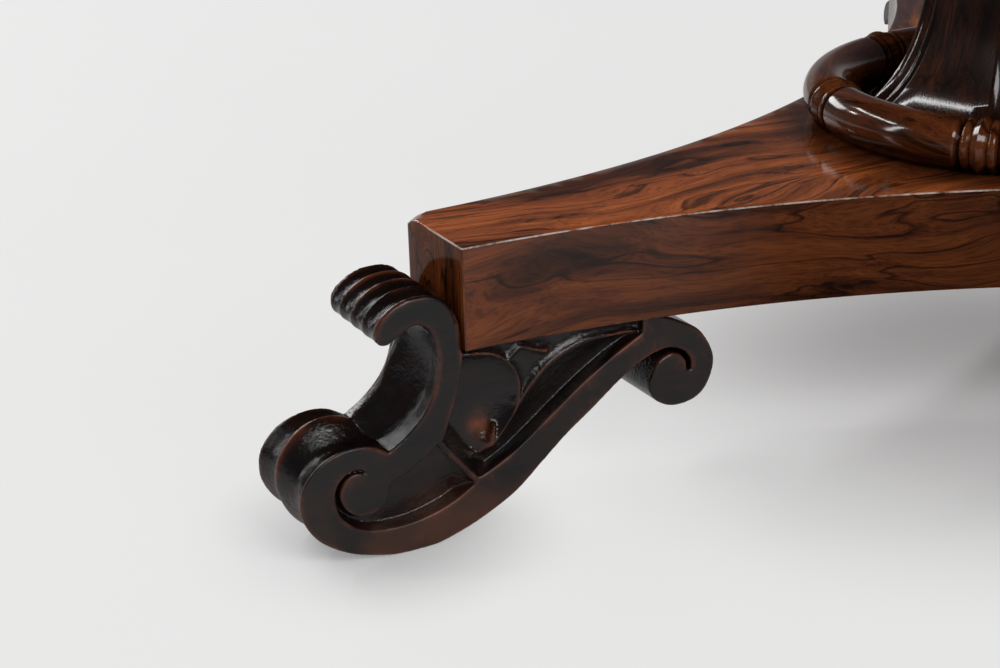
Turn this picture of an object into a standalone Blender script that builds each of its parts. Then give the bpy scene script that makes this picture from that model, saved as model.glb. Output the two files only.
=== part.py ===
# Tilt-top breakfast table on a three-armed platform with carved scroll feet.
# Metres, +Z up, origin on the floor under the column. The top tilts up about pins at the front of the block.

import math

import bmesh
import bpy
from mathutils import Matrix, Vector

# Whole table
TABLE_HEIGHT = 0.735
FIT_GAP = 0.0003

# Platform
PLATFORM_THICKNESS = 0.054
ARM_REACH = 0.3843
ARM_END_WIDTH = 0.0622
SIDE_RADIUS = 0.6507
ARM_ANGLES = {"left": 210.0, "right": 330.0, "rear": 90.0}

# Scroll feet, drawn on a template whose unit is a hundredth of the rise
FOOT_RISE = 0.102
FOOT_WIDTH = 0.0568
PANEL_DEPTH = 0.0090
RIB_DEPTH = 0.0035
C_SCROLL = [(42.5, 115, 9), (39, 121, 12.5), (30.5, 124.5, 14), (23.5, 125.5, 14.5), (14, 121, 15.5),
            (8, 109, 14), (7, 96.5, 13), (9, 84, 13), (13, 73, 13), (18.5, 63.5, 13.5), (29.5, 55.5, 12),
            (39, 50, 9)]
STRAP = [(46, 49, 9), (52.5, 55, 13), (62, 56, 13), (70.5, 53.5, 15.5), (76.5, 48, 17), (79, 36.5, 18.5),
         (72.5, 22.5, 17.5), (61, 13.5, 15), (46.5, 9, 14.5), (27.5, 8, 16.5), (10.5, 11.5, 18), (-5.5, 17.5, 19),
         (-22, 26.5, 18.5), (-37.5, 37, 16), (-52.5, 49, 15), (-68, 60, 15.5), (-82.5, 69, 16.5),
         (-98, 77.5, 19), (-118, 82, 17.5), (-131, 75.5, 15.5), (-136.5, 64.5, 15.5), (-133.5, 53.5, 14.5),
         (-124.5, 49, 11)]
SIDE_RIB = [(-13, 49.5, 6), (-20, 59, 7), (-29, 70.5, 8), (-47, 86.5, 8), (-61, 94, 8), (-80, 95.5, 8),
            (-98, 94, 7)]
CROSS_RIB = [(14, 59, 5), (5, 47.5, 5), (-5, 33, 5)]
WEB = [(3, 103), (-100, 103), (-112, 84), (-98, 77.5), (-68, 60), (-37.5, 37), (-5.5, 17.5), (27.5, 8),
       (61, 13.5), (76, 30), (74, 47), (60, 55), (42, 52), (29.5, 55.5), (18.5, 63.5), (10, 80), (7, 97)]
KEEL = [(112, 15, 18), (104, 13, 22), (93, 14, 27.5), (82, 16.5, 33), (73, 20, 41.5), (67, 22.5, 48),
        (48, 26, 50)]
KEEL_BASE_WIDTH = 0.040
KEEL_EDGE = 0.0024
KEEL_FLANK_OUT = 0.36
KEEL_FLANK_HALF = 0.42
FOOT_PAD_LIP = 0.0012
FRONT_EYE = (53.5, 38.5, 13)
BACK_EYE = (-119, 57, 13)
FRONT_CREST = (63, 42, 27.5)
FRONT_CREST_WIDTH = 0.012
ROLL_FLUTES = 4
ROLL_FLUTE_DEPTH = 0.0034
ROLL_FLUTE_SPAN = (1, 10)
FRONT_FLUTES = 2
FRONT_FLUTE_DEPTH = 0.0060
FRONT_FLUTE_SPAN = (2, 15)
FLUTE_SHAPE = [(-0.95, -1.0), (0.95, -1.0), (0.7, 0.45), (0.3, 1.0), (-0.3, 1.0), (-0.7, 0.45)]
FLUTE_RUN_OUT = 1.15

# Ring moulding on the platform, with bead ties
RING_RADIUS = 0.1186
RING_TUBE = 0.0141
TIE_ANGLES = [8.0, 69.5, 131.0, 192.0, 245.0, 306.5]
TIE_WIDTH = 0.025
TIE_GROOVE = 0.0022
TIE_BEAD = 0.0012
TIE_SHAPE = [(-0.5, 0.0), (-0.38, -TIE_GROOVE), (-0.26, 0.0), (-0.17, -TIE_GROOVE / 2), (0.0, TIE_BEAD),
             (0.17, -TIE_GROOVE / 2), (0.26, 0.0), (0.38, -TIE_GROOVE), (0.5, 0.0)]

# Six-sided column with beaded angles
NECK_RADIUS = 0.050
SHAFT_SWELL = 0.014
FLARE_SPREAD = 0.037
FLARE_HEIGHT = 0.024
COLLAR_HEIGHT = 0.026
COLLAR_RADIUS = 0.064
COLLAR_FILLET = 0.0042
CAPITAL_HEIGHT = 0.0775
CAPITAL_SPREAD = 0.044
CAPITAL_FLARE = 0.026
ANGLE_BEAD = 0.0036
BEAD_TURNS = [(-1.7, 1.5), (-0.9, 0.75), (0.0, 0.25), (0.9, 0.75), (1.7, 1.5)]
BEAD_LIP_TURN = 2.6
SWELL_POWER = 1.3
SHAFT_CROWDING = 2.2
CAPITAL_CROWDING = 0.6

# Tie rod through the column
ROD_RADIUS = 0.008
NUT_RADIUS = 0.0135
NUT_HEIGHT = 0.012
WASHER_RADIUS = 0.018
WASHER_THICKNESS = 0.003
ROD_STICK_OUT = 0.003
ROD_POCKET_RADIUS = 0.022

# Tilting top
TOP_RADIUS = 0.660
BOARD_THICKNESS = 0.024
FRIEZE_SETBACK = 0.014
FRIEZE_WIDTH = 0.026
FRIEZE_DEPTH = 0.052
BEAD_HEIGHT = 0.0135
BEAD_PROUD = 0.006

# Block, pivots and bearers
BLOCK_THICKNESS = 0.046
BLOCK_WIDTH = 0.240
BLOCK_BACK = 0.175
PIVOT_SETBACK = 0.185
PIN_RADIUS = 0.006
PIN_IN_BLOCK = 0.036
PIN_IN_BEARER = 0.024
PIN_CLEARANCE = 0.0005
BEARER_CLEARANCE = 0.0006
BEARER_WIDTH = 0.032
BEARER_DEPTH = 0.046
BEARER_LENGTH = 0.900
BEARER_TAPER = 0.120
BEARER_END_DEPTH = 0.016
BEARER_SCREWS = [-0.300, 0.0, 0.300]

# Sliding bolts and keepers
BOLT_OFFSET = 0.070
BOLT_WIDTH = 0.012
BOLT_THICKNESS = 0.008
BOLT_LENGTH = 0.078
BOLT_TRAVEL = 0.014
BOLT_STANDOFF = 0.0015
GUIDE_WIDTH = 0.036
GUIDE_THICKNESS = 0.0025
GUIDE_LENGTH = 0.080
GUIDE_SETBACK = 0.009
BRIDGE_LENGTH = 0.010
BRIDGE_WALL = 0.003
BRIDGE_INSET = 0.006
KNOB_RADIUS = 0.0065
KNOB_HEIGHT = 0.015
KNOB_SETBACK = 0.050
KNOB_SHAPE = [(0.5, 0.0), (0.45, 0.35), (0.85, 0.5), (1.0, 0.7), (0.8, 0.92), (0.3, 1.0)]
KEEPER_WIDTH = 0.040
KEEPER_HEIGHT = 0.019
KEEPER_THICKNESS = 0.0025
KEEPER_ABOVE_BOLT = 0.0057

# Wood screws
SCREW_RADIUS = 0.003
SCREW_HEAD_RADIUS = 0.0055
SCREW_HEAD_HEIGHT = 0.004
SCREW_GRIP = 0.014
SCREW_SINK = 0.020
SCREW_POINT = 0.2
FOOT_SCREWS = {-0.075: 0.010, -0.032: 0.026}
PLATE_SCREW_RADIUS = 0.0016
PLATE_SCREW_HEAD = 0.0030
PLATE_SCREW_LENGTH = 0.011
PLATE_SCREW_INSET = 0.0045

# Facets
SCREW_SIDES = 6
COARSE = 10
MEDIUM = 14
CREST_SIDES = 18
COLLAR_SIDES = 24
FINE = 56
SIDE_STEPS = 18
TIE_GAP_STEPS = 4
TUBE_SIDES = 8
SHAFT_STEPS = 9
CAPITAL_STEPS = 4
ROUND_STEPS = 4

# Heights that follow from the sizes above
platform_top = FOOT_RISE + PLATFORM_THICKNESS
shaft_bottom = platform_top + FIT_GAP
board_bottom = TABLE_HEIGHT - BOARD_THICKNESS
block_top = board_bottom - FIT_GAP
block_bottom = block_top - BLOCK_THICKNESS
capital_bottom = block_bottom - FIT_GAP - CAPITAL_HEIGHT
collar_bottom = capital_bottom - FIT_GAP - COLLAR_HEIGHT
shaft_height = collar_bottom - FIT_GAP - shaft_bottom
nut_pocket = ROD_STICK_OUT + NUT_HEIGHT + WASHER_THICKNESS + 3 * FIT_GAP
pivot_drop = BLOCK_THICKNESS / 2
pivot_point = Vector((0.0, -PIVOT_SETBACK, block_top - pivot_drop))
bearer_offset = BLOCK_WIDTH / 2 + BEARER_CLEARANCE
bolt_top = board_bottom - FIT_GAP - GUIDE_THICKNESS - FIT_GAP
bolt_height = bolt_top - BOLT_THICKNESS / 2
keeper_face = BLOCK_BACK + FIT_GAP + KEEPER_THICKNESS
bolt_nose = keeper_face + BOLT_STANDOFF
guide_start = keeper_face + GUIDE_SETBACK

for old in list(bpy.data.objects):
    bpy.data.objects.remove(old, do_unlink=True)


def material(name, colour, roughness, metallic=0.0):
    made = bpy.data.materials.new(name)
    made.use_nodes = True
    shader = made.node_tree.nodes["Principled BSDF"]
    shader.inputs["Base Color"].default_value = (*colour, 1.0)
    shader.inputs["Roughness"].default_value = roughness
    shader.inputs["Metallic"].default_value = metallic
    return made


rosewood = material("figured_rosewood", (0.155, 0.042, 0.016), 0.28)
carved_rosewood = material("carved_dark_rosewood", (0.030, 0.014, 0.010), 0.34)
mahogany = material("plain_mahogany", (0.180, 0.075, 0.036), 0.55)
brass = material("aged_brass", (0.520, 0.360, 0.130), 0.38, 1.0)
iron = material("forged_iron", (0.060, 0.055, 0.052), 0.55, 1.0)


def finish(name, mesh_builder, look, smooth_angle=None):
    """Make one object from a bmesh, with its faces pointing out."""
    mesh_builder.normal_update()
    bmesh.ops.recalc_face_normals(mesh_builder, faces=mesh_builder.faces[:])
    mesh = bpy.data.meshes.new(name)
    mesh_builder.to_mesh(mesh)
    mesh_builder.free()
    mesh.materials.append(look)
    made = bpy.data.objects.new(name, mesh)
    bpy.context.scene.collection.objects.link(made)
    if smooth_angle is not None:
        mesh.shade_smooth()
        mesh.set_sharp_from_angle(angle=math.radians(smooth_angle))
    return made


def combine(base, others, operation):
    """Add the other objects to base, or cut them from it, and remove them."""
    for other in others:
        step = base.modifiers.new(other.name, "BOOLEAN")
        step.operation = operation
        step.object = other
        step.solver = "EXACT"
    graph = bpy.context.evaluated_depsgraph_get()
    mesh = bpy.data.meshes.new_from_object(base.evaluated_get(graph))
    base.modifiers.clear()
    base.data = mesh
    for other in others:
        bpy.data.objects.remove(other, do_unlink=True)
    return base


def loft(name, rings, look, closed=False, smooth_angle=None):
    """Skin a list of equal point rings, capped at both ends unless the loft closes on itself."""
    builder = bmesh.new()
    rows = [[builder.verts.new(point) for point in ring] for ring in rings]
    pairs = list(zip(rows, rows[1:]))
    if closed:
        pairs.append((rows[-1], rows[0]))
    for first, second in pairs:
        for index in range(len(first)):
            after = (index + 1) % len(first)
            builder.faces.new((first[index], first[after], second[after], second[index]))
    if not closed:
        builder.faces.new(rows[0])
        builder.faces.new(rows[-1])
    return finish(name, builder, look, smooth_angle)


def prism(name, outline, axis, low, high, look, smooth_angle=None):
    """Extrude an outline along an axis: its two numbers are the other two coordinates in order."""
    def point(pair, level):
        values = list(pair)
        values.insert("XYZ".index(axis), level)
        return Vector(values)
    rings = [[point(pair, level) for pair in outline] for level in (low, high)]
    return loft(name, rings, look, False, smooth_angle)


def box(name, low, high, look):
    outline = [(low[0], low[1]), (high[0], low[1]), (high[0], high[1]), (low[0], high[1])]
    return prism(name, outline, "Z", low[2], high[2], look)


def circle(radius, count, start=0.0):
    step = 2 * math.pi / count
    return [(radius * math.cos(start + step * index), radius * math.sin(start + step * index))
            for index in range(count)]


def rod(name, radius, axis, low, high, look):
    return prism(name, circle(radius, COARSE), axis, low, high, look, 40)


def turned(name, profile, look, count, smooth_angle=40):
    """Turn a closed (radius, height) profile about Z: a ring when no radius is zero."""
    rings = []
    for index in range(count):
        angle = 2 * math.pi * index / count
        aim = Vector((math.cos(angle), math.sin(angle)))
        rings.append([(aim.x * radius, aim.y * radius, height) for radius, height in profile])
    return loft(name, rings, look, True, smooth_angle)


def turned_solid(name, profile, look, count, smooth_angle=40):
    """Turn an open (radius, height) profile about Z into a solid with flat ends."""
    rings = [[(x, y, height) for x, y in circle(radius, count)] for radius, height in profile]
    return loft(name, rings, look, False, smooth_angle)


def place(made, where, turn=0.0, parent=None):
    """Put a piece at a world position, turned about Z, under a parent empty that is only moved."""
    origin = parent.matrix_world.translation if parent else Vector((0.0, 0.0, 0.0))
    made.location = Vector(where) - origin
    made.rotation_euler = (0.0, 0.0, turn)
    made.parent = parent
    return made


def centred(made, where, parent=None):
    """Give a piece that was drawn in place an origin at a world position."""
    made.data.transform(Matrix.Translation(-Vector(where)))
    return place(made, where, 0.0, parent)


def axis_empty(name, where, parent=None):
    empty = bpy.data.objects.new(name, None)
    bpy.context.scene.collection.objects.link(empty)
    place(empty, where, 0.0, parent)
    bpy.context.view_layer.update()
    return empty


def smooth_path(points, steps):
    """Points along a smooth curve through every given point, any number of values each."""
    path = []
    for index in range(len(points) - 1):
        before = Vector(points[max(index - 1, 0)])
        start = Vector(points[index])
        end = Vector(points[index + 1])
        after = Vector(points[min(index + 2, len(points) - 1)])
        for step in range(steps):
            part = step / steps
            pull = 2 * start + (end - before) * part
            pull = pull + (2 * before - 5 * start + 4 * end - after) * part ** 2
            pull = pull + (3 * start - before - 3 * end + after) * part ** 3
            path.append(pull / 2)
    path.append(Vector(points[-1]))
    return path


def wood_screw(name, radius, head_radius, head_height, length, look):
    """A flat-headed tapering screw along Z, its head's face at zero and its point above."""
    profile = [(head_radius, 0.0), (head_radius, head_height / 4), (radius, head_height),
               (radius * SCREW_POINT, length)]
    return turned_solid(name, profile, look, SCREW_SIDES, 30)


def plate_hole(thickness):
    """Cutter for a countersunk screw hole through a brass plate, along Z from the plate's face."""
    wide = PLATE_SCREW_HEAD + FIT_GAP
    narrow = PLATE_SCREW_RADIUS + FIT_GAP
    profile = [(wide, -FIT_GAP), (wide, thickness / 4 + FIT_GAP), (narrow, thickness + FIT_GAP),
               (narrow, PLATE_SCREW_LENGTH)]
    return turned_solid("plate_hole", profile, brass, COARSE)


# Scroll foot
unit = FOOT_RISE / 100
half_foot = FOOT_WIDTH / 2


def foot_edges(strip, steps):
    """The two edges of a strip of (x, height, width) points, in metres."""
    path = smooth_path(strip, steps)
    first = []
    second = []
    for index, point in enumerate(path):
        ahead = path[min(index + 1, len(path) - 1)]
        behind = path[max(index - 1, 0)]
        along = (ahead - behind).to_2d().normalized()
        across = Vector((-along.y, along.x)) * point.z / 2
        first.append((point.to_2d() + across) * unit)
        second.append((point.to_2d() - across) * unit)
    return first, second


def on_floor(point):
    """Flatten a foot point that comes near the floor, so the foot stands on a flat pad."""
    return point[0], point[1] if point[1] > FOOT_PAD_LIP else 0.0


def foot_strip(name, strip, half_width, steps):
    first, second = foot_edges(strip, steps)
    rings = []
    for left, right in zip(first, second):
        left = on_floor(left)
        right = on_floor(right)
        rings.append([(left[0], -half_width, left[1]), (left[0], half_width, left[1]),
                      (right[0], half_width, right[1]), (right[0], -half_width, right[1])])
    return loft(name, rings, carved_rosewood)


def foot_disc(name, centre, half_width, count):
    x, z, radius = (value * unit for value in centre)
    outline = [(x + a, z + b) for a, b in circle(radius, count)]
    return prism(name, outline, "Y", -half_width, half_width, carved_rosewood)


def foot_crest():
    """The round-edged disc that stands between the two hollows of the lower scroll's front."""
    x, z, radius = (value * unit for value in FRONT_CREST)
    half = FRONT_CREST_WIDTH / 2
    rings = []
    for part in (-1.0, -0.55, 0.55, 1.0):
        swell = radius - half * (1 - math.sqrt(1 - 0.95 * part * part))
        rings.append([(x + a, part * half, z + b) for a, b in circle(swell, CREST_SIDES)])
    return loft("front_crest", rings, carved_rosewood)


def foot_keel():
    """The thin ridge down the hollow front of the C, with a hollow flank each side."""
    rings = []
    half_base = KEEL_BASE_WIDTH / 2
    half_edge = KEEL_EDGE / 2
    for height, base, ridge in KEEL:
        flank = base + (ridge - base) * KEEL_FLANK_OUT
        back = base - 3
        side = [(back, half_base), (base, half_base), (flank, half_base * KEEL_FLANK_HALF), (ridge, half_edge)]
        loop = side + [(x, -y) for x, y in reversed(side)]
        rings.append([(x * unit, y, height * unit) for x, y in loop])
    return loft("keel", rings, carved_rosewood)


def foot_flutes(strip, outer, span, count, depth):
    """Cutters for hollows that run side by side along an outer edge of a strip and run out at their ends."""
    edges = foot_edges(strip, 2)
    pitch = FOOT_WIDTH / count
    first, last = span
    cutters = []
    for index in range(count):
        middle = (index + 0.5) * pitch - half_foot
        rings = []
        for station in range(first, last):
            edge = edges[outer][station]
            normal = (edge - edges[1 - outer][station]).normalized()
            lift = FLUTE_RUN_OUT if station in (first, last - 1) else 0.0
            ring = []
            for part, sink in FLUTE_SHAPE:
                spot = edge - normal * depth * (sink - lift)
                ring.append((spot.x, middle + part * pitch / 2, spot.y))
            rings.append(ring)
        cutters.append(loft("flute", rings, carved_rosewood))
    return cutters


def scroll_foot():
    """One foot, outward along +X, with the arm's end face at X zero."""
    panel = half_foot - PANEL_DEPTH
    rib = half_foot - RIB_DEPTH
    web_outline = [(x * unit, z * unit) for x, z in WEB]
    body = prism("foot", web_outline, "Y", -panel, panel, carved_rosewood)
    strap = foot_strip("strap", STRAP, half_foot, 2)
    combine(strap, foot_flutes(STRAP, 0, FRONT_FLUTE_SPAN, FRONT_FLUTES, FRONT_FLUTE_DEPTH), "DIFFERENCE")
    c_scroll = foot_strip("c_scroll", C_SCROLL, half_foot - FIT_GAP, 2)
    combine(c_scroll, foot_flutes(C_SCROLL, 1, ROLL_FLUTE_SPAN, ROLL_FLUTES, ROLL_FLUTE_DEPTH), "DIFFERENCE")
    additions = [strap, c_scroll]
    additions.append(foot_strip("side_rib", SIDE_RIB, rib, 1))
    additions.append(foot_strip("cross_rib", CROSS_RIB, rib - FIT_GAP, 1))
    additions.append(foot_disc("front_eye", FRONT_EYE, half_foot - FIT_GAP * 2, MEDIUM))
    additions.append(foot_disc("back_eye", BACK_EYE, half_foot - FIT_GAP * 2, MEDIUM))
    additions.append(foot_crest())
    additions.append(foot_keel())
    combine(body, additions, "UNION")
    seat = box("seat", (-ARM_REACH, -FOOT_WIDTH, FOOT_RISE - FIT_GAP),
               (FIT_GAP, FOOT_WIDTH, platform_top), carved_rosewood)
    cutters = [seat]
    for x, sink in FOOT_SCREWS.items():
        seat_height = foot_screw_seat(x, sink)
        well = rod("well", SCREW_HEAD_RADIUS + FIT_GAP, "Z", -FIT_GAP, seat_height, carved_rosewood)
        hole = rod("hole", SCREW_RADIUS + FIT_GAP, "Z", -FIT_GAP, FOOT_RISE, carved_rosewood)
        for cutter in (well, hole):
            cutter.data.transform(Matrix.Translation((x, 0.0, 0.0)))
            cutters.append(cutter)
    return combine(body, cutters, "DIFFERENCE")


def foot_screw_seat(x, sink):
    """Height of a foot screw's head: sunk from the strap's lower edge above that place."""
    lower = foot_edges(STRAP, 2)[0]
    nearest = min(lower, key=lambda point: abs(point.x - x) + (0.0 if point.y < FOOT_RISE / 2 else 1.0))
    return nearest.y + sink


pattern_foot = scroll_foot()
foot_mesh = pattern_foot.data
bpy.data.objects.remove(pattern_foot, do_unlink=True)
for side_name, degrees in ARM_ANGLES.items():
    foot = bpy.data.objects.new("foot_" + side_name, foot_mesh)
    bpy.context.scene.collection.objects.link(foot)
    heading = math.radians(degrees)
    place(foot, (ARM_REACH * math.cos(heading), ARM_REACH * math.sin(heading), 0.0), heading)

# Platform: three arms with hollow sides between them
half_end = ARM_END_WIDTH / 2
reach_term = ARM_REACH + math.sqrt(3) * half_end
square_term = ARM_REACH ** 2 + half_end ** 2 - SIDE_RADIUS ** 2
side_centre = (reach_term + math.sqrt(reach_term ** 2 - 4 * square_term)) / 2
centre_x = side_centre / 2
centre_y = side_centre * math.sqrt(3) / 2
side_start = math.atan2(half_end - centre_y, ARM_REACH - centre_x) % (2 * math.pi)
side_end = 2 * math.radians(240) - side_start
platform_outline = []
for degrees in sorted(ARM_ANGLES.values()):
    turn = Matrix.Rotation(math.radians(degrees), 2)
    platform_outline.append(turn @ Vector((ARM_REACH, -half_end)))
    for step in range(SIDE_STEPS):
        angle = side_start + (side_end - side_start) * step / SIDE_STEPS
        spot = Vector((centre_x + SIDE_RADIUS * math.cos(angle), centre_y + SIDE_RADIUS * math.sin(angle)))
        platform_outline.append(turn @ spot)
platform = prism("platform", platform_outline, "Z", FOOT_RISE, platform_top, rosewood)
nut_pocket_top = FOOT_RISE + nut_pocket
platform_cuts = [rod("rod_hole", ROD_RADIUS + FIT_GAP, "Z", 0.0, TABLE_HEIGHT, rosewood),
                 rod("nut_pocket", ROD_POCKET_RADIUS, "Z", 0.0, nut_pocket_top, rosewood)]
for degrees in ARM_ANGLES.values():
    heading = math.radians(degrees)
    for x in FOOT_SCREWS:
        radius = ARM_REACH + x
        hole = rod("hole", SCREW_RADIUS + FIT_GAP, "Z", 0.0, FOOT_RISE + SCREW_GRIP + FIT_GAP, rosewood)
        place(hole, (radius * math.cos(heading), radius * math.sin(heading), 0.0))
        platform_cuts.append(hole)
combine(platform, platform_cuts, "DIFFERENCE")

for side_name, degrees in ARM_ANGLES.items():
    heading = math.radians(degrees)
    for index, (x, sink) in enumerate(FOOT_SCREWS.items()):
        head = foot_screw_seat(x, sink) - SCREW_HEAD_HEIGHT - FIT_GAP
        length = FOOT_RISE + SCREW_GRIP - head
        screw = wood_screw("foot_screw_" + side_name + "_" + str(index + 1), SCREW_RADIUS, SCREW_HEAD_RADIUS,
                           SCREW_HEAD_HEIGHT, length, iron)
        radius = ARM_REACH + x
        place(screw, (radius * math.cos(heading), radius * math.sin(heading), head))

# Ring moulding: a round tube whose radius dips and swells at each tie
ring_stations = []
for index, tie in enumerate(TIE_ANGLES):
    for part, rise in TIE_SHAPE:
        ring_stations.append((math.radians(tie) + part * TIE_WIDTH / RING_RADIUS, rise))
    following = TIE_ANGLES[(index + 1) % len(TIE_ANGLES)]
    span = (following - tie) % 360
    for step in range(1, TIE_GAP_STEPS):
        ring_stations.append((math.radians(tie + span * step / TIE_GAP_STEPS), 0.0))
ring_rows = []
for angle, rise in ring_stations:
    row = []
    for across, up in circle(RING_TUBE + rise, TUBE_SIDES, math.pi / TUBE_SIDES):
        radius = RING_RADIUS + across
        height = max(RING_TUBE + up, FIT_GAP) + platform_top
        row.append((radius * math.cos(angle), radius * math.sin(angle), height))
    ring_rows.append(row)
ring_moulding = loft("ring_moulding", ring_rows, rosewood, True, 50)


# Column: six flat sides with a bead between two grooves at each angle
def column_section(corner_radius, height):
    flat = corner_radius * math.cos(math.pi / 6)
    bead_turn = ANGLE_BEAD / corner_radius
    loop = []
    for corner in range(6):
        middle = corner * math.pi / 3
        lip = flat / math.cos(math.pi / 6 - BEAD_LIP_TURN * bead_turn)
        spots = [(turn, corner_radius - ANGLE_BEAD * drop) for turn, drop in BEAD_TURNS]
        for turn, radius in [(-BEAD_LIP_TURN, lip)] + spots + [(BEAD_LIP_TURN, lip)]:
            angle = middle + turn * bead_turn
            loop.append((radius * math.cos(angle), radius * math.sin(angle), height))
    return loop


def bored(made, low, high):
    bore = rod("bore", ROD_RADIUS + FIT_GAP, "Z", low - FIT_GAP, high + FIT_GAP, rosewood)
    return combine(made, [bore], "DIFFERENCE")


shaft_rings = []
for step in range(SHAFT_STEPS + 1):
    rise = shaft_height * (step / SHAFT_STEPS) ** SHAFT_CROWDING
    swell = SHAFT_SWELL * (1 - rise / shaft_height) ** SWELL_POWER
    flare = FLARE_SPREAD * math.exp(-rise / FLARE_HEIGHT)
    shaft_rings.append(column_section(NECK_RADIUS + swell + flare, shaft_bottom + rise))
column_shaft = loft("column_shaft", shaft_rings, rosewood, False, 30)
bored(column_shaft, shaft_bottom, shaft_bottom + shaft_height)

collar_round = COLLAR_HEIGHT / 2 - COLLAR_FILLET
collar_inner = COLLAR_RADIUS - collar_round
collar_middle = collar_bottom + COLLAR_HEIGHT / 2
collar_profile = [(collar_inner, collar_bottom)]
for step in range(ROUND_STEPS + 1):
    angle = math.pi * step / ROUND_STEPS - math.pi / 2
    collar_profile.append((collar_inner + collar_round * math.cos(angle),
                           collar_middle + collar_round * math.sin(angle)))
collar_profile.append((collar_inner, collar_bottom + COLLAR_HEIGHT))
column_collar = turned_solid("column_collar", collar_profile, rosewood, COLLAR_SIDES)
bored(column_collar, collar_bottom, collar_bottom + COLLAR_HEIGHT)

capital_rings = []
for step in range(CAPITAL_STEPS + 1):
    rise = CAPITAL_HEIGHT * (step / CAPITAL_STEPS) ** CAPITAL_CROWDING
    spread = CAPITAL_SPREAD * math.exp((rise - CAPITAL_HEIGHT) / CAPITAL_FLARE)
    capital_rings.append(column_section(NECK_RADIUS + spread, capital_bottom + rise))
column_capital = loft("column_capital", capital_rings, rosewood, False, 30)
bored(column_capital, capital_bottom, capital_bottom + CAPITAL_HEIGHT)

# Tie rod, nuts and washers that clamp platform, column and block together
tie_rod = rod("tie_rod", ROD_RADIUS, "Z", FOOT_RISE + FIT_GAP, block_top - FIT_GAP, iron)


def rod_ring(name, outer, count, low, height):
    made = prism(name, circle(outer, count), "Z", low, low + height, iron)
    hole = rod("hole", ROD_RADIUS + FIT_GAP, "Z", low - FIT_GAP, low + height + FIT_GAP, iron)
    return combine(made, [hole], "DIFFERENCE")


lower_washer_low = nut_pocket_top - FIT_GAP - WASHER_THICKNESS
rod_ring("lower_washer", WASHER_RADIUS, MEDIUM, lower_washer_low, WASHER_THICKNESS)
rod_ring("lower_nut", NUT_RADIUS, 6, lower_washer_low - FIT_GAP - NUT_HEIGHT, NUT_HEIGHT)
upper_washer_low = block_top - nut_pocket + FIT_GAP
rod_ring("upper_washer", WASHER_RADIUS, MEDIUM, upper_washer_low, WASHER_THICKNESS)
rod_ring("upper_nut", NUT_RADIUS, 6, upper_washer_low + WASHER_THICKNESS + FIT_GAP, NUT_HEIGHT)

# Block on the column: its front edge is rounded about the pivot above and square below, where the top stops
block_outline = [(BLOCK_BACK, block_bottom), (BLOCK_BACK, block_top)]
for step in range(ROUND_STEPS + 1):
    angle = math.pi / 2 * (1 + step / ROUND_STEPS)
    block_outline.append((pivot_point.y + pivot_drop * math.cos(angle),
                          pivot_point.z + pivot_drop * math.sin(angle)))
block_outline.append((pivot_point.y - pivot_drop, block_bottom))
top_block = prism("top_block", block_outline, "X", -BLOCK_WIDTH / 2, BLOCK_WIDTH / 2, mahogany)
block_cuts = [rod("rod_hole", ROD_RADIUS + FIT_GAP, "Z", 0.0, TABLE_HEIGHT, mahogany),
              rod("nut_pocket", ROD_POCKET_RADIUS, "Z", block_top - nut_pocket, TABLE_HEIGHT, mahogany)]
for side in (-1, 1):
    pin_hole = rod("pin_hole", PIN_RADIUS + FIT_GAP, "X", 0.0, PIN_IN_BLOCK + FIT_GAP * 2, mahogany)
    start = BLOCK_WIDTH / 2 - PIN_IN_BLOCK - FIT_GAP if side > 0 else -BLOCK_WIDTH / 2 - FIT_GAP
    place(pin_hole, (start, pivot_point.y, pivot_point.z))
    block_cuts.append(pin_hole)
    pocket_half = Vector((BOLT_WIDTH / 2 + FIT_GAP, 0.0, BOLT_THICKNESS / 2 + FIT_GAP))
    pocket_centre = Vector((side * BOLT_OFFSET, 0.0, bolt_height))
    pocket_back = bolt_nose - BOLT_TRAVEL - FIT_GAP * 3
    block_cuts.append(box("bolt_pocket", pocket_centre - pocket_half + Vector((0.0, pocket_back, 0.0)),
                          pocket_centre + pocket_half + Vector((0.0, BLOCK_BACK + FIT_GAP, 0.0)), mahogany))
    for hand in (-1, 1):
        screw_hole = rod("screw_hole", PLATE_SCREW_RADIUS + FIT_GAP, "Y", BLOCK_BACK - PLATE_SCREW_LENGTH,
                         BLOCK_BACK + FIT_GAP, mahogany)
        across = side * BOLT_OFFSET + hand * (KEEPER_WIDTH / 2 - PLATE_SCREW_INSET)
        place(screw_hole, (across, 0.0, bolt_height))
        block_cuts.append(screw_hole)
combine(top_block, block_cuts, "DIFFERENCE")

side_names = {-1: "left", 1: "right"}
for side, side_name in side_names.items():
    pin_inner = -PIN_IN_BLOCK - BEARER_CLEARANCE / 2
    pin_outer = PIN_IN_BEARER - BEARER_CLEARANCE / 2
    pin = rod("pivot_pin_" + side_name, PIN_RADIUS, "X", *sorted((side * pin_inner, side * pin_outer)), iron)
    place(pin, (side * bearer_offset, pivot_point.y, pivot_point.z))

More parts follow.
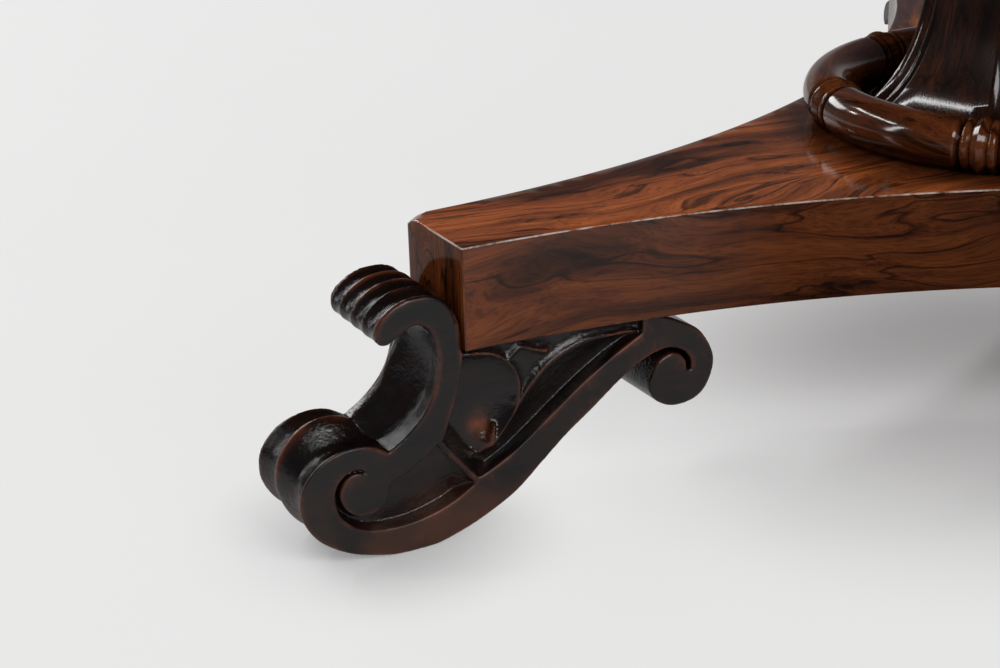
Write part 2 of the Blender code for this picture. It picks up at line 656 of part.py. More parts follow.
# Keepers on the block's back end, with a hole for each bolt
for side, side_name in side_names.items():
    middle = side * BOLT_OFFSET
    keeper_top = bolt_height + KEEPER_ABOVE_BOLT
    half_keeper = KEEPER_WIDTH / 2
    keeper = box("keeper_" + side_name, (middle - half_keeper, BLOCK_BACK + FIT_GAP, keeper_top - KEEPER_HEIGHT),
                 (middle + half_keeper, keeper_face, keeper_top), brass)
    half_hole = BOLT_WIDTH / 2 + FIT_GAP
    half_rise = BOLT_THICKNESS / 2 + FIT_GAP
    keeper_cuts = [box("bolt_hole", (middle - half_hole, BLOCK_BACK, bolt_height - half_rise),
                       (middle + half_hole, keeper_face + FIT_GAP, bolt_height + half_rise), brass)]
    for hand in (-1, 1):
        across = middle + hand * (KEEPER_WIDTH / 2 - PLATE_SCREW_INSET)
        hole = plate_hole(KEEPER_THICKNESS)
        hole.data.transform(Matrix.Rotation(math.pi / 2, 4, "X"))
        place(hole, (across, keeper_face, bolt_height))
        keeper_cuts.append(hole)
        screw = wood_screw("keeper_screw_" + side_name + ("_inner" if hand * side < 0 else "_outer"),
                           PLATE_SCREW_RADIUS, PLATE_SCREW_HEAD, KEEPER_THICKNESS,
                           PLATE_SCREW_LENGTH - FIT_GAP, brass)
        screw.data.transform(Matrix.Rotation(math.pi / 2, 4, "X"))
        place(screw, (across, keeper_face, bolt_height))
    combine(keeper, keeper_cuts, "DIFFERENCE")

# Tilting top: everything below turns about the two pins
tilt_axis = axis_empty("tilt_axis", pivot_point)
edge_round = BOARD_THICKNESS / 2
board_profile = []
for step in range(ROUND_STEPS + 1):
    angle = math.pi / 2 - math.pi * step / ROUND_STEPS
    board_profile.append((TOP_RADIUS - edge_round * (1 - math.cos(angle)),
                          TABLE_HEIGHT - edge_round * (1 - math.sin(angle))))
top_board = turned_solid("top_board", board_profile, rosewood, FINE, 50)

frieze_outer = TOP_RADIUS - FRIEZE_SETBACK
frieze_inner = frieze_outer - FRIEZE_WIDTH
frieze_top = board_bottom - FIT_GAP
frieze_low = frieze_top - FRIEZE_DEPTH
frieze = turned("frieze", [(frieze_inner, frieze_low), (frieze_outer, frieze_low), (frieze_outer, frieze_top),
                           (frieze_inner, frieze_top)], rosewood, FINE)
bead_top = frieze_low - FIT_GAP
bead_profile = [(frieze_inner, bead_top), (frieze_inner, bead_top - BEAD_HEIGHT)]
for step in range(ROUND_STEPS + 1):
    angle = math.pi * step / ROUND_STEPS - math.pi / 2
    bead_profile.append((frieze_outer + BEAD_PROUD * math.cos(angle),
                         bead_top - BEAD_HEIGHT / 2 + BEAD_HEIGHT / 2 * math.sin(angle)))
frieze_bead = turned("frieze_bead", bead_profile, rosewood, FINE)

half_bearer = BEARER_LENGTH / 2
taper_start = half_bearer - BEARER_TAPER
bearer_top = board_bottom - FIT_GAP
bearer_outline = [(-half_bearer, bearer_top), (-half_bearer, bearer_top - BEARER_END_DEPTH),
                  (-taper_start, bearer_top - BEARER_DEPTH), (taper_start, bearer_top - BEARER_DEPTH),
                  (half_bearer, bearer_top - BEARER_END_DEPTH), (half_bearer, bearer_top)]
screw_head_level = bearer_top - BEARER_DEPTH + SCREW_SINK
screw_length = board_bottom + SCREW_GRIP - screw_head_level
board_cuts = []
for side, side_name in side_names.items():
    inner = side * bearer_offset
    outer = side * (bearer_offset + BEARER_WIDTH)
    bearer = prism("bearer_" + side_name, bearer_outline, "X", min(inner, outer), max(inner, outer), mahogany)
    hole_end = side * (bearer_offset + PIN_IN_BEARER + FIT_GAP)
    hole_ends = sorted((inner - side * FIT_GAP, hole_end))
    pin_hole = rod("pin_hole", PIN_RADIUS + PIN_CLEARANCE, "X", *hole_ends, mahogany)
    place(pin_hole, (0.0, pivot_point.y, pivot_point.z))
    bearer_cuts = [pin_hole]
    middle = (inner + outer) / 2
    for index, along in enumerate(BEARER_SCREWS):
        well = rod("well", SCREW_HEAD_RADIUS + FIT_GAP, "Z", bearer_top - BEARER_DEPTH - FIT_GAP,
                   screw_head_level + SCREW_HEAD_HEIGHT + FIT_GAP, mahogany)
        hole = rod("hole", SCREW_RADIUS + FIT_GAP, "Z", bearer_top - BEARER_DEPTH, TABLE_HEIGHT, mahogany)
        board_hole = rod("board_hole", SCREW_RADIUS + FIT_GAP, "Z", bearer_top,
                         board_bottom + SCREW_GRIP + FIT_GAP, rosewood)
        for cutter in (well, hole, board_hole):
            place(cutter, (middle, along, 0.0))
        bearer_cuts.extend([well, hole])
        board_cuts.append(board_hole)
        screw = wood_screw("bearer_screw_" + side_name + "_" + str(index + 1), SCREW_RADIUS, SCREW_HEAD_RADIUS,
                           SCREW_HEAD_HEIGHT, screw_length, iron)
        place(screw, (middle, along, screw_head_level), 0.0, tilt_axis)
    combine(bearer, bearer_cuts, "DIFFERENCE")
    centred(bearer, (middle, pivot_point.y, pivot_point.z), tilt_axis)

# Sliding bolts under the top: guide plate with two bridges, bolt and knob
tunnel_half = BOLT_WIDTH / 2 + FIT_GAP
bridge_half = tunnel_half + BRIDGE_WALL
bridge_drop = BOLT_THICKNESS + FIT_GAP * 2 + BRIDGE_WALL
guide_top = board_bottom - FIT_GAP
guide_low = guide_top - GUIDE_THICKNESS
guide_end = guide_start + GUIDE_LENGTH
for side, side_name in side_names.items():
    middle = side * BOLT_OFFSET
    guide = box("bolt_guide_" + side_name, (middle - GUIDE_WIDTH / 2, guide_start, guide_low),
                (middle + GUIDE_WIDTH / 2, guide_end, guide_top), brass)
    bridges = []
    tunnels = []
    for start in (guide_start + BRIDGE_INSET, guide_end - BRIDGE_INSET - BRIDGE_LENGTH):
        end = start + BRIDGE_LENGTH
        bridges.append(box("bridge", (middle - bridge_half, start, guide_low - bridge_drop),
                           (middle + bridge_half, end, guide_low + GUIDE_THICKNESS / 2), brass))
        tunnels.append(box("tunnel", (middle - tunnel_half, start - FIT_GAP, bolt_top - BOLT_THICKNESS - FIT_GAP),
                           (middle + tunnel_half, end + FIT_GAP, guide_low), brass))
    combine(guide, bridges, "UNION")
    along = guide_start + GUIDE_LENGTH / 2
    for hand in (-1, 1):
        across = middle + hand * (GUIDE_WIDTH / 2 - PLATE_SCREW_INSET)
        hole = plate_hole(GUIDE_THICKNESS)
        place(hole, (across, along, guide_low))
        tunnels.append(hole)
        board_hole = rod("board_hole", PLATE_SCREW_RADIUS + FIT_GAP, "Z", guide_top,
                         guide_low + PLATE_SCREW_LENGTH, rosewood)
        place(board_hole, (across, along, 0.0))
        board_cuts.append(board_hole)
        screw = wood_screw("guide_screw_" + side_name + ("_inner" if hand * side < 0 else "_outer"),
                           PLATE_SCREW_RADIUS, PLATE_SCREW_HEAD, GUIDE_THICKNESS,
                           PLATE_SCREW_LENGTH - FIT_GAP, brass)
        place(screw, (across, along, guide_low), 0.0, tilt_axis)
    combine(guide, tunnels, "DIFFERENCE")
    centred(guide, (middle, guide_start, guide_low), tilt_axis)

    bolt_origin = (middle, bolt_nose, bolt_height)
    slide_axis = axis_empty("slide_axis_" + side_name, bolt_origin, tilt_axis)
    bolt = box("slide_bolt_" + side_name, (-BOLT_WIDTH / 2, 0.0, -BOLT_THICKNESS / 2),
               (BOLT_WIDTH / 2, BOLT_LENGTH, BOLT_THICKNESS / 2), brass)
    place(bolt, bolt_origin, 0.0, slide_axis)
    knob_profile = [(KNOB_RADIUS * wide, -KNOB_HEIGHT * down) for wide, down in KNOB_SHAPE]
    knob = turned_solid("bolt_knob_" + side_name, knob_profile, brass, COARSE, 60)
    place(knob, (middle, bolt_nose + KNOB_SETBACK, bolt_height - BOLT_THICKNESS / 2 - FIT_GAP), 0.0, slide_axis)

combine(top_board, board_cuts, "DIFFERENCE")
for made in (top_board, frieze, frieze_bead):
    centred(made, pivot_point, tilt_axis)
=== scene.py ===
# A tilt-top breakfast table of about 1835 in rosewood: a round top on a column, a three-armed platform and
# carved scroll feet. Metres, +Z up, origin on the floor under the column.

import math

import bmesh
import bpy
import numpy as np
from mathutils import Matrix, Vector
from mathutils.geometry import delaunay_2d_cdt


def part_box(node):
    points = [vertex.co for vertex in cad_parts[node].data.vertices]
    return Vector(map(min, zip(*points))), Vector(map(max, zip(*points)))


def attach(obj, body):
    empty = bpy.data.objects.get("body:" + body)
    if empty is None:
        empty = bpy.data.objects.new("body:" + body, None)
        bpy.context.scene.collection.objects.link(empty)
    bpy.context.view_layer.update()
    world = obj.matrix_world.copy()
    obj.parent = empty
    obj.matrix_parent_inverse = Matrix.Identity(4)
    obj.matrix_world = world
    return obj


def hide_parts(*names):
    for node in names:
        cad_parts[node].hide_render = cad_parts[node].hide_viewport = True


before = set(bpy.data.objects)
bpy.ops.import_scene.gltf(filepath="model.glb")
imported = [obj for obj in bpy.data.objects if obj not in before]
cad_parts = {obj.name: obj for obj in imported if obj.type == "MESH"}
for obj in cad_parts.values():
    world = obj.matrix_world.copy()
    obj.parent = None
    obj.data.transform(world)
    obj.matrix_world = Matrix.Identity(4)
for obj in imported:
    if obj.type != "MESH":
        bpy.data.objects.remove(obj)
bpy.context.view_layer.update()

# Scroll feet
# Three alike, each carved from a block of dark rosewood: a fluted roll over a C scroll with a keeled hollow
# front, then a strap, hollowed each side of a crest in front, that curls round an eye, runs under the foot
# and ends in a back scroll, glued up under an arm's end. The foot is drawn in millimetres.
MM = 0.001
ARM_REACH = 0.3843
ARM_ANGLES = {"left": 210.0, "right": 330.0, "rear": 90.0}
FOOT_HALF_WIDTH = 28.4
FOOT_TOP = 101.7
ROLL_EDGE = [(0.5, 101.7), (0.6, 109.8), (1.6, 117.2), (5.2, 126.0), (9.8, 131.4), (15.6, 134.3),
             (23.0, 135.2), (31.4, 134.2), (39.0, 130.8), (45.0, 125.4), (46.9, 119.4), (45.0, 114.6),
             (40.4, 112.8), (34.4, 115.8), (25.4, 120.2), (18.0, 116.6), (14.3, 108.0), (13.4, 98.3),
             (16.2, 84.6), (22.0, 73.6), (31.6, 64.0), (42.3, 57.0)]
STRAP_EDGE = [(42.3, 57.0), (52.2, 62.7), (64.0, 63.8), (76.6, 60.4), (86.0, 52.6), (90.5, 43.0),
              (89.6, 30.6), (81.4, 17.6), (65.9, 7.2), (48.7, 2.0), (38.0, 0.2), (28.0, 0.0), (18.0, 0.4),
              (6.0, 3.4), (-8.8, 8.8), (-27.5, 18.4), (-42.7, 30.9), (-57.9, 43.5), (-73.3, 54.3),
              (-88.9, 65.9), (-100.4, 72.8), (-107.4, 76.0), (-115.5, 78.0), (-122.5, 77.4), (-129.2, 74.0),
              (-132.9, 68.6), (-133.1, 63.5)]
EYE_EDGE = [(-133.1, 63.5), (-130.6, 63.7), (-129.6, 69.0), (-125.8, 73.4), (-120.2, 74.7), (-113.2, 71.8),
            (-109.1, 65.2), (-107.3, 59.1), (-108.5, 54.0), (-113.2, 48.6), (-122.6, 44.7), (-135.7, 46.2),
            (-144.1, 54.2), (-147.0, 68.0), (-139.3, 83.1), (-127.0, 91.5), (-114.0, 97.5), (-102.0, 101.7)]
STRAP_INNER = [(-103.5, 92.0), (-102.0, 89.1), (-85.0, 80.2), (-66.0, 68.6), (-47.1, 55.1), (-28.2, 41.7),
               (-15.2, 34.8), (-7.6, 31.7)]
PANEL_FRONT = [(-7.6, 31.7), (-1.0, 39.5), (6.0, 48.0), (12.6, 57.0)]
PANEL_BAND = [(12.6, 57.0), (6.8, 72.6), (2.6, 85.4), (0.6, 97.0), (0.3, 106.0)]
PANEL_BACK = (-103.5, 106.0)
SCOOP_EDGE = [(-1.8, 98.2), (-7.3, 97.8), (-15.6, 96.1), (-20.4, 94.0), (-25.3, 90.6), (-29.4, 85.3),
              (-32.0, 77.9), (-32.1, 71.7), (-30.2, 65.9)]
SCOOP_FOOT = [(-25.8, 57.0), (-22.8, 52.8), (-19.8, 48.7), (-12.0, 40.0), (12.6, 57.0), (6.8, 72.6),
              (2.6, 85.4), (0.6, 97.0)]
SMALL_ARCH = [(-26.7, 91.0), (-30.3, 93.9), (-33.9, 95.8), (-41.0, 93.0), (-48.1, 90.8)]
DROP_AXIS = ((-15.6, 47.2), (-17.6, 56.5))
RED_SPOT = (-11.0, 57.2)
RIB_CREST = [(-14.5, 46.5), (-18.8, 49.5), (-27.0, 59.5), (-33.9, 69.8), (-43.0, 79.4), (-50.3, 84.9),
             (-60.9, 89.6), (-72.2, 92.0), (-88.0, 91.6), (-103.0, 90.5)]
VOLUTE_INNER = [(52.7, 47.0), (57.5, 51.4), (64.4, 51.2), (70.2, 46.4), (72.4, 38.9), (70.2, 29.5),
                (64.4, 22.6), (57.5, 18.4), (48.0, 16.1), (33.5, 15.6), (19.0, 18.0), (7.0, 22.2),
                (-4.0, 28.5)]
HUSK_BACK = [(-4.0, 28.5), (2.5, 37.0), (9.5, 45.5), (16.5, 55.0)]
HUSK_TOP = [(16.5, 55.0), (22.9, 50.5), (32.0, 44.8), (40.0, 41.6), (42.8, 39.3)]
VOLUTE_EYE = [(42.8, 39.3), (44.6, 32.2), (50.6, 27.2), (59.4, 26.8), (66.2, 31.6), (69.2, 40.0),
              (66.0, 47.0), (60.2, 49.6), (52.7, 47.0)]
FRONT_CREST = (64.2, 42.8)
FRONT_CREST_RADIUS = 28.0
FRONT_FLUTE_DEPTH = 5.5
KEEL_LEVELS = [(114.0, 17.0, 19.0), (106.0, 14.0, 22.3), (99.0, 13.2, 25.6), (94.7, 13.4, 28.2),
               (83.4, 16.2, 33.9), (74.2, 20.8, 42.4), (68.6, 25.5, 49.0), (58.0, 37.0, 52.0),
               (46.0, 40.0, 50.0)]
KEEL_HALF_WIDTH = 24.0
KEEL_ROUND = 0.75
KEEL_SUNK = 0.4
KEEL_BACK = 6.0
ARRIS = 0.9
ROLL_ARRIS = 3.2
ROLL_FLUTES = 4
ROLL_FLUTE_DEPTH = 3.6
CARVE_REACH = 6.0
RIB_LEVEL = 2.0
COVE_DEPTH = 6.6
COVE_ROUND = 1.9
LAND_LEVEL = 2.4
SCOOP_DEPTH = 7.4
SCOOP_SPREAD = 7.0
ARCH_DEPTH = 3.4
ARCH_SPREAD = 2.6
DROP_LEVEL = 2.2
DROP_DEPTH = 4.4
DROP_ROUND = 2.4
DROP_HALF_WIDTH = 3.5
DROP_TAPER = 2.6
PANEL_WALL = 6.0
PANEL_RAMP = 0.8
HUSK_LEVEL = 2.0
HUSK_DEPTH = 7.2
HUSK_ROUND = 1.7
HUSK_WALL = 4.5
HUSK_RAMP = 0.6
GROOVE_DEPTH = 7.5
GROOVE_START = 36.0
GROOVE_BLEND = 16.0
RIDGE_LEVEL = 2.6
RIDGE_ROUND = 1.3
SADDLE_DEPTH = 5.2
TINY = 0.01
OUTLINE_STEP = 0.9
MEASURE_STEP = 1.5
EDGE_STEP = 1.2
GRID_STEP = 1.05
FUSE_SIZE = 0.7
FLOOR_GAP = 0.02
WEAR_GAIN = 2.8
WEAR_START = 0.12
WEAR_MOST = 0.9
RED_MOST = 1.5
RED_SPREAD = 30.0
SUNK_FROM = 1.6


def smooth_curve(points, spacing):
    """Evenly spaced points along a smooth curve through the given ones."""
    points = np.array(points, float)
    padded = np.vstack([2 * points[:1] - points[1:2], points, 2 * points[-1:] - points[-2:-1]])
    fine = []
    for index in range(len(points) - 1):
        before, start, end, after = padded[index:index + 4]
        for part in np.linspace(0, 1, 24, endpoint=False):
            fine.append(0.5 * (2 * start + (end - before) * part
                               + (2 * before - 5 * start + 4 * end - after) * part ** 2
                               + (3 * start - before - 3 * end + after) * part ** 3))
    fine = np.vstack([fine, points[-1:]])
    run = np.concatenate([[0], np.cumsum(np.linalg.norm(np.diff(fine, axis=0), axis=1))])
    count = max(2, int(round(run[-1] / spacing)) + 1)
    even = np.linspace(0, run[-1], count)
    return np.stack([np.interp(even, run, fine[:, axis]) for axis in range(fine.shape[1])], axis=1)


def distance_to(points, line):
    """Distance from each point to a line of points, the side it lies on, and where along the line it is."""
    nearest = np.full(len(points), 1e9)
    side = np.zeros(len(points))
    run = np.zeros(len(points))
    for index, (start, end) in enumerate(zip(line[:-1], line[1:])):
        along = end - start
        part = np.clip(((points - start) @ along) / (along @ along), 0, 1)
        gap = points - start - part[:, None] * along
        length = np.hypot(gap[:, 0], gap[:, 1])
        closer = length < nearest
        nearest[closer] = length[closer]
        side[closer] = (along[0] * gap[:, 1] - along[1] * gap[:, 0])[closer]
        run[closer] = index + part[closer]
    return nearest, side, run


def inside(points, loop):
    """True for each point inside a closed loop."""
    within = np.zeros(len(points), bool)
    for start, end in zip(loop, np.roll(loop, -1, axis=0)):
        crosses = (start[1] > points[:, 1]) != (end[1] > points[:, 1])
        rise = end[1] - start[1] if end[1] != start[1] else 1e-9
        reach = start[0] + (points[:, 1] - start[1]) / rise * (end[0] - start[0])
        within ^= crosses & (points[:, 0] < reach)
    return within


def shoulder(value, width):
    """Rises smoothly from zero at zero to one at width."""
    part = np.clip(value / width, 0, 1)
    return part * part * (3 - 2 * part)


def gap_to(points, line):
    """Distance from each point to the smooth curve through a drawn line."""
    return distance_to(points, smooth_curve(line, MEASURE_STEP))[0]


def place_along(points, start, end):
    """How far along a straight line each point lies, from zero at its start to one at its end."""
    way = end - start
    return np.clip(((points - start) @ way) / (way @ way), 0, 1)


def panel_depth(points):
    """Depth of the panel sunk under the arm: a cove below the rib, and crisp-edged hollows above it."""
    to_strap = gap_to(points, STRAP_INNER)
    wall = PANEL_WALL * np.minimum(gap_to(points, PANEL_BAND), to_strap)
    ramp = RIDGE_LEVEL + PANEL_RAMP * gap_to(points, PANEL_FRONT)
    to_rib, side, _ = distance_to(points, smooth_curve(RIB_CREST, MEASURE_STEP))
    part = to_rib / (to_rib + to_strap + TINY)
    cove = RIB_LEVEL + COVE_DEPTH * (1 - (1 - part) ** COVE_ROUND)
    to_scoop = np.minimum(gap_to(points, SCOOP_EDGE), to_rib)
    to_arch = np.minimum(gap_to(points, SMALL_ARCH), to_scoop)
    scoop = LAND_LEVEL + SCOOP_DEPTH * (1 - np.exp(-to_scoop / SCOOP_SPREAD))
    arch = LAND_LEVEL + ARCH_DEPTH * (1 - np.exp(-to_arch / ARCH_SPREAD))
    in_scoop = inside(points, np.vstack([smooth_curve(SCOOP_EDGE, MEASURE_STEP), SCOOP_FOOT]))
    depth = np.where(side > 0, cove, np.where(in_scoop, scoop, arch))
    start, end = np.array(DROP_AXIS)
    along = place_along(points, start, end)
    gap = np.linalg.norm(points - start - along[:, None] * (end - start), axis=1)
    width = DROP_HALF_WIDTH - DROP_TAPER * along
    drop = DROP_LEVEL + DROP_DEPTH * np.clip(gap / width, 0, 3) ** DROP_ROUND
    return np.minimum.reduce([depth, drop, wall, ramp])


def husk_depth(points):
    """Depth of the hollow beside the eye: a husk that rolls over into a groove along the strap."""
    to_strap, to_top, to_eye = (gap_to(points, rim) for rim in (VOLUTE_INNER, HUSK_TOP, VOLUTE_EYE))
    part = to_top / (to_top + to_strap + TINY)
    husk = HUSK_LEVEL + HUSK_DEPTH * part ** HUSK_ROUND
    depth = husk + (GROOVE_DEPTH - husk) * shoulder(points[:, 0] - GROOVE_START, GROOVE_BLEND)
    walls = [HUSK_WALL * gap for gap in (to_strap, to_top, to_eye)]
    ramp = RIDGE_LEVEL + HUSK_RAMP * gap_to(points, HUSK_BACK)
    return np.minimum.reduce([depth, *walls, ramp])


def ridge_depth(points):
    """Depth of the ridge between panel and husk: rounded across and worn low in the middle of its length."""
    to_back = gap_to(points, HUSK_BACK)
    to_front = gap_to(points, PANEL_FRONT)
    across = np.clip((to_front - to_back) / (to_front + to_back + TINY), -1, 1)
    start, end = ((np.array(HUSK_BACK[tip]) + PANEL_FRONT[tip]) / 2 for tip in (0, -1))
    along = place_along(points, start, end)
    return SADDLE_DEPTH * along * (1 - along) + RIDGE_ROUND * across ** 2


def chained(*drawn):
    """Smooth curves through drawn lines, one after another, each without its last point."""
    return np.vstack([smooth_curve(line, OUTLINE_STEP)[:-1] for line in drawn])


def carved_plate(builder):
    """The foot's full profile, with the same relief cut into both faces."""
    top = [(x, FOOT_TOP) for x in np.arange(EYE_EDGE[-1][0], 0.0, 1.0)]
    outline = np.vstack([chained(ROLL_EDGE, STRAP_EDGE, EYE_EDGE), top])
    panel = np.vstack([chained(STRAP_INNER, PANEL_FRONT, PANEL_BAND), [PANEL_BAND[-1], PANEL_BACK]])
    husk = chained(VOLUTE_INNER, HUSK_BACK, HUSK_TOP, VOLUTE_EYE)
    front, back = (smooth_curve(line, OUTLINE_STEP) for line in (PANEL_FRONT, HUSK_BACK))
    ridge = np.vstack([front, back[::-1]])
    lines = [smooth_curve(line, OUTLINE_STEP) for line in (RIB_CREST, SCOOP_EDGE, SMALL_ARCH)]
    for loop in (panel, husk):
        ahead = np.roll(loop, -1, axis=0) - np.roll(loop, 1, axis=0)
        inward = np.stack([-ahead[:, 1], ahead[:, 0]], axis=1) / np.linalg.norm(ahead, axis=1)[:, None]
        if not inside(loop[5:6] + inward[5:6] * 0.2, loop)[0]:
            inward = -inward
        lines.extend([loop, loop + inward * 0.6, loop + inward * 1.5])
    marks = np.vstack(lines)
    columns, rows = np.meshgrid(np.arange(-148, 91, GRID_STEP), np.arange(0.5, 135, GRID_STEP))
    grid = np.stack([columns.ravel(), rows.ravel()], axis=1)
    marks = marks[inside(marks, outline)]
    closed = np.vstack([outline, outline[:1]])
    marks = marks[distance_to(marks, closed)[0] > 0.5]
    grid = grid[inside(grid, outline)]
    grid = grid[distance_to(grid, closed)[0] > 0.7]
    crowd = np.array([np.min(np.hypot(*(marks - spot).T)) for spot in grid])
    grid = grid[crowd > 0.6]
    flat = np.vstack([outline, marks, grid])
    edges = [(index, (index + 1) % len(outline)) for index in range(len(outline))]
    spots, _, faces, _, _, _ = delaunay_2d_cdt([Vector(spot) for spot in flat], edges, [], 1, 1e-4)
    spots = np.array(spots)
    rim = distance_to(spots, closed)[0]
    on_roll = distance_to(spots, smooth_curve(ROLL_EDGE[2:13], OUTLINE_STEP))[0] < rim + 0.05
    arris = np.where(on_roll, ROLL_ARRIS, ARRIS)
    depth = arris * (1 - np.sqrt(np.clip(1 - (1 - np.clip(rim / arris, 0, 1)) ** 2, 0, 1)))
    for loop, sunk in ((panel, panel_depth), (husk, husk_depth), (ridge, ridge_depth)):
        within = inside(spots, loop)
        depth[within] = np.maximum(depth[within], sunk(spots[within]))
    half = FOOT_HALF_WIDTH - depth
    near = [builder.verts.new((x, y, z)) for (x, z), y in zip(spots, half)]
    far = [builder.verts.new((x, -y, z)) for (x, z), y in zip(spots, half)]
    for face in faces:
        builder.faces.new([near[index] for index in face])
        builder.faces.new([far[index] for index in reversed(face)])
    builder.verts.index_update()
    count = len(near)
    open_edges = [edge for edge in builder.edges if edge.is_boundary and edge.verts[0].index < count]
    for edge in open_edges:
        first, second = edge.verts
        builder.faces.new((first, second, far[second.index], far[first.index]))


def skin(builder, rings):
    """Faces between equal rings of points, with a cap at each end."""
    rows = [[builder.verts.new(point) for point in ring] for ring in rings]
    for first, second in zip(rows, rows[1:]):
        for index in range(len(first)):
            after = (index + 1) % len(first)
            builder.faces.new((first[index], first[after], second[after], second[index]))
    builder.faces.new(rows[0])
    builder.faces.new(rows[-1])


def keel_rings():
    """The rounded ridge down the hollow front, with a glossy hollow on each side of it."""
    rings = []
    for height, floor, ridge in smooth_curve(KEEL_LEVELS, 2.5):
        back = floor - KEEL_BACK
        flank = []
        for part in np.linspace(1, 0, 16):
            rise = 0.5 + 0.5 * math.cos(math.pi * part ** KEEL_ROUND)
            out = floor - KEEL_SUNK + (ridge - floor + KEEL_SUNK) * rise
            flank.append((out, KEEL_HALF_WIDTH * part, height))
        mirrored = [(x, -y, z) for x, y, z in reversed(flank[:-1])]
        rings.append([(back, KEEL_HALF_WIDTH, height), *flank, *mirrored, (back, -KEEL_HALF_WIDTH, height)])
    return rings


def carve(spots, edge, cut):
    """Cut the points near an outer edge of the foot back, by a depth that depends on their place along it."""
    reach, _, run = distance_to(spots[:, [0, 2]], edge)
    ahead = np.gradient(edge, axis=0)
    ahead /= np.linalg.norm(ahead, axis=1)[:, None]
    stations = np.arange(len(edge))
    depth = cut(run / stations[-1]) * (1 - shoulder(reach, CARVE_REACH))
    spots[:, 0] += np.interp(run, stations, ahead[:, 1]) * depth
    spots[:, 2] -= np.interp(run, stations, ahead[:, 0]) * depth


def finished(name, builder, material=None):
    """One object from a bmesh, its faces turned outwards."""
    bmesh.ops.recalc_face_normals(builder, faces=builder.faces[:])
    mesh = bpy.data.meshes.new(name)
    builder.to_mesh(mesh)
    builder.free()
    made = bpy.data.objects.new(name, mesh)
    bpy.context.scene.collection.objects.link(made)
    if material:
        mesh.materials.append(material)
    return made


def applied(made):
    """Turn an object's modifiers into its mesh."""
    graph = bpy.context.evaluated_depsgraph_get()
    mesh = bpy.data.meshes.new_from_object(made.evaluated_get(graph))
    made.modifiers.clear()
    made.data = mesh
    return made


def feed(tree, made, inputs):
    """Set a node's inputs, each either a value or a link from another node's output."""
    for key, value in inputs.items():
        if isinstance(value, bpy.types.NodeSocket):
            tree.links.new(value, made.inputs[key])
        else:
            made.inputs[key].default_value = value


def node(tree, kind, inputs, **settings):
    """A node with its settings and inputs."""
    made = tree.nodes.new(kind)
    for key, value in settings.items():
        setattr(made, key, value)
    feed(tree, made, inputs)
    return made


def stored(tree, name):
    """A value stored on a mesh."""
    return node(tree, "ShaderNodeAttribute", {}, attribute_name=name).outputs["Fac"]


def ranged(tree, value, given=(0.0, 1.0), to=(0.0, 1.0), step="LINEAR"):
    """A value moved from one span to another."""
    return node(tree, "ShaderNodeMapRange", {"Value": value, "From Min": given[0], "From Max": given[1],
                                             "To Min": to[0], "To Max": to[1]},
                interpolation_type=step).outputs[0]


def worked_out(tree, operation, *values, kind="ShaderNodeMath"):
    """What an operation on values comes to."""
    return node(tree, kind, dict(enumerate(values)), operation=operation).outputs[0]


def bumped(tree, height, strength, depth):
    """A surface roughened by a height."""
    return node(tree, "ShaderNodeBump", {"Height": height, "Strength": strength,
                                         "Distance": depth}).outputs["Normal"]


def new_material(name):
    """A material, its nodes and its shader."""
    made = bpy.data.materials.new(name)
    made.use_nodes = True
    return made, made.node_tree, made.node_tree.nodes["Principled BSDF"]


def colour_steps(tree, factor, steps):
    """A colour ramp with its steps as (place, colour) pairs."""
    ramp = node(tree, "ShaderNodeValToRGB", {"Fac": factor})
    stops = ramp.color_ramp.elements
    while len(stops) < len(steps):
        stops.new(0.5)
    for stop, (place, colour) in zip(stops, steps):
        stop.position = place
        stop.color = (*colour, 1.0)
    return ramp.outputs["Color"]


def mixed(tree, factor, first, second, blend="MIX"):
    """Two colours mixed by a factor."""
    return node(tree, "ShaderNodeMix", {0: factor, 6: first, 7: second}, data_type="RGBA",
                blend_type=blend).outputs[2]


def scaled_noise(tree, vector, scale, detail, roughness=0.5):
    """Noise on coordinates stretched by a scale along each axis."""
    stretched = node(tree, "ShaderNodeMapping", {"Vector": vector, "Scale": scale}).outputs["Vector"]
    return node(tree, "ShaderNodeTexNoise", {"Vector": stretched, "Scale": 1.0, "Detail": detail,
                                             "Roughness": roughness})


def wood_material(name, bend, streak, band, colours, band_dark, pore_dark):
    """Wood whose figure runs along the first value of a piece's grain attribute: fine streaks in broad dark
    bands, both bent by slow swirls, and dark pores. Gives its nodes for finishing."""
    made, tree, shader = new_material(name)
    light = (1.0, 1.0, 1.0)
    dark = (band_dark,) * 3
    vectors = "ShaderNodeVectorMath"
    grain = node(tree, "ShaderNodeAttribute", {}, attribute_name="grain").outputs["Vector"]
    drift = scaled_noise(tree, grain, (6.0, 15.0, 15.0), 2.0, 0.4).outputs["Color"]
    centred = worked_out(tree, "SUBTRACT", drift, (0.5, 0.5, 0.5), kind=vectors)
    swing = worked_out(tree, "MULTIPLY", centred, (0.0, bend, bend), kind=vectors)
    bent = worked_out(tree, "ADD", grain, swing, kind=vectors)
    streaks = colour_steps(tree, scaled_noise(tree, bent, streak, 4.0, 0.6).outputs["Fac"], colours)
    bands = scaled_noise(tree, bent, band, 3.0).outputs["Fac"]
    banded = colour_steps(tree, bands, [(0.34, dark), (0.50, light)])
    rings = scaled_noise(tree, bent, (1.6, 62.0, 62.0), 2.0).outputs["Fac"]
    veined = colour_steps(tree, rings, [(0.445, light), (0.475, dark), (0.490, light)])
    fibres = scaled_noise(tree, bent, (60.0, 1100.0, 1100.0), 2.0).outputs["Fac"]
    pores = colour_steps(tree, fibres, [(0.36, (pore_dark,) * 3), (0.52, light)])
    colour = streaks
    for shade in (banded, veined, pores):
        colour = mixed(tree, 1.0, colour, shade, "MULTIPLY")
    return made, tree, shader, colour, fibres, grain


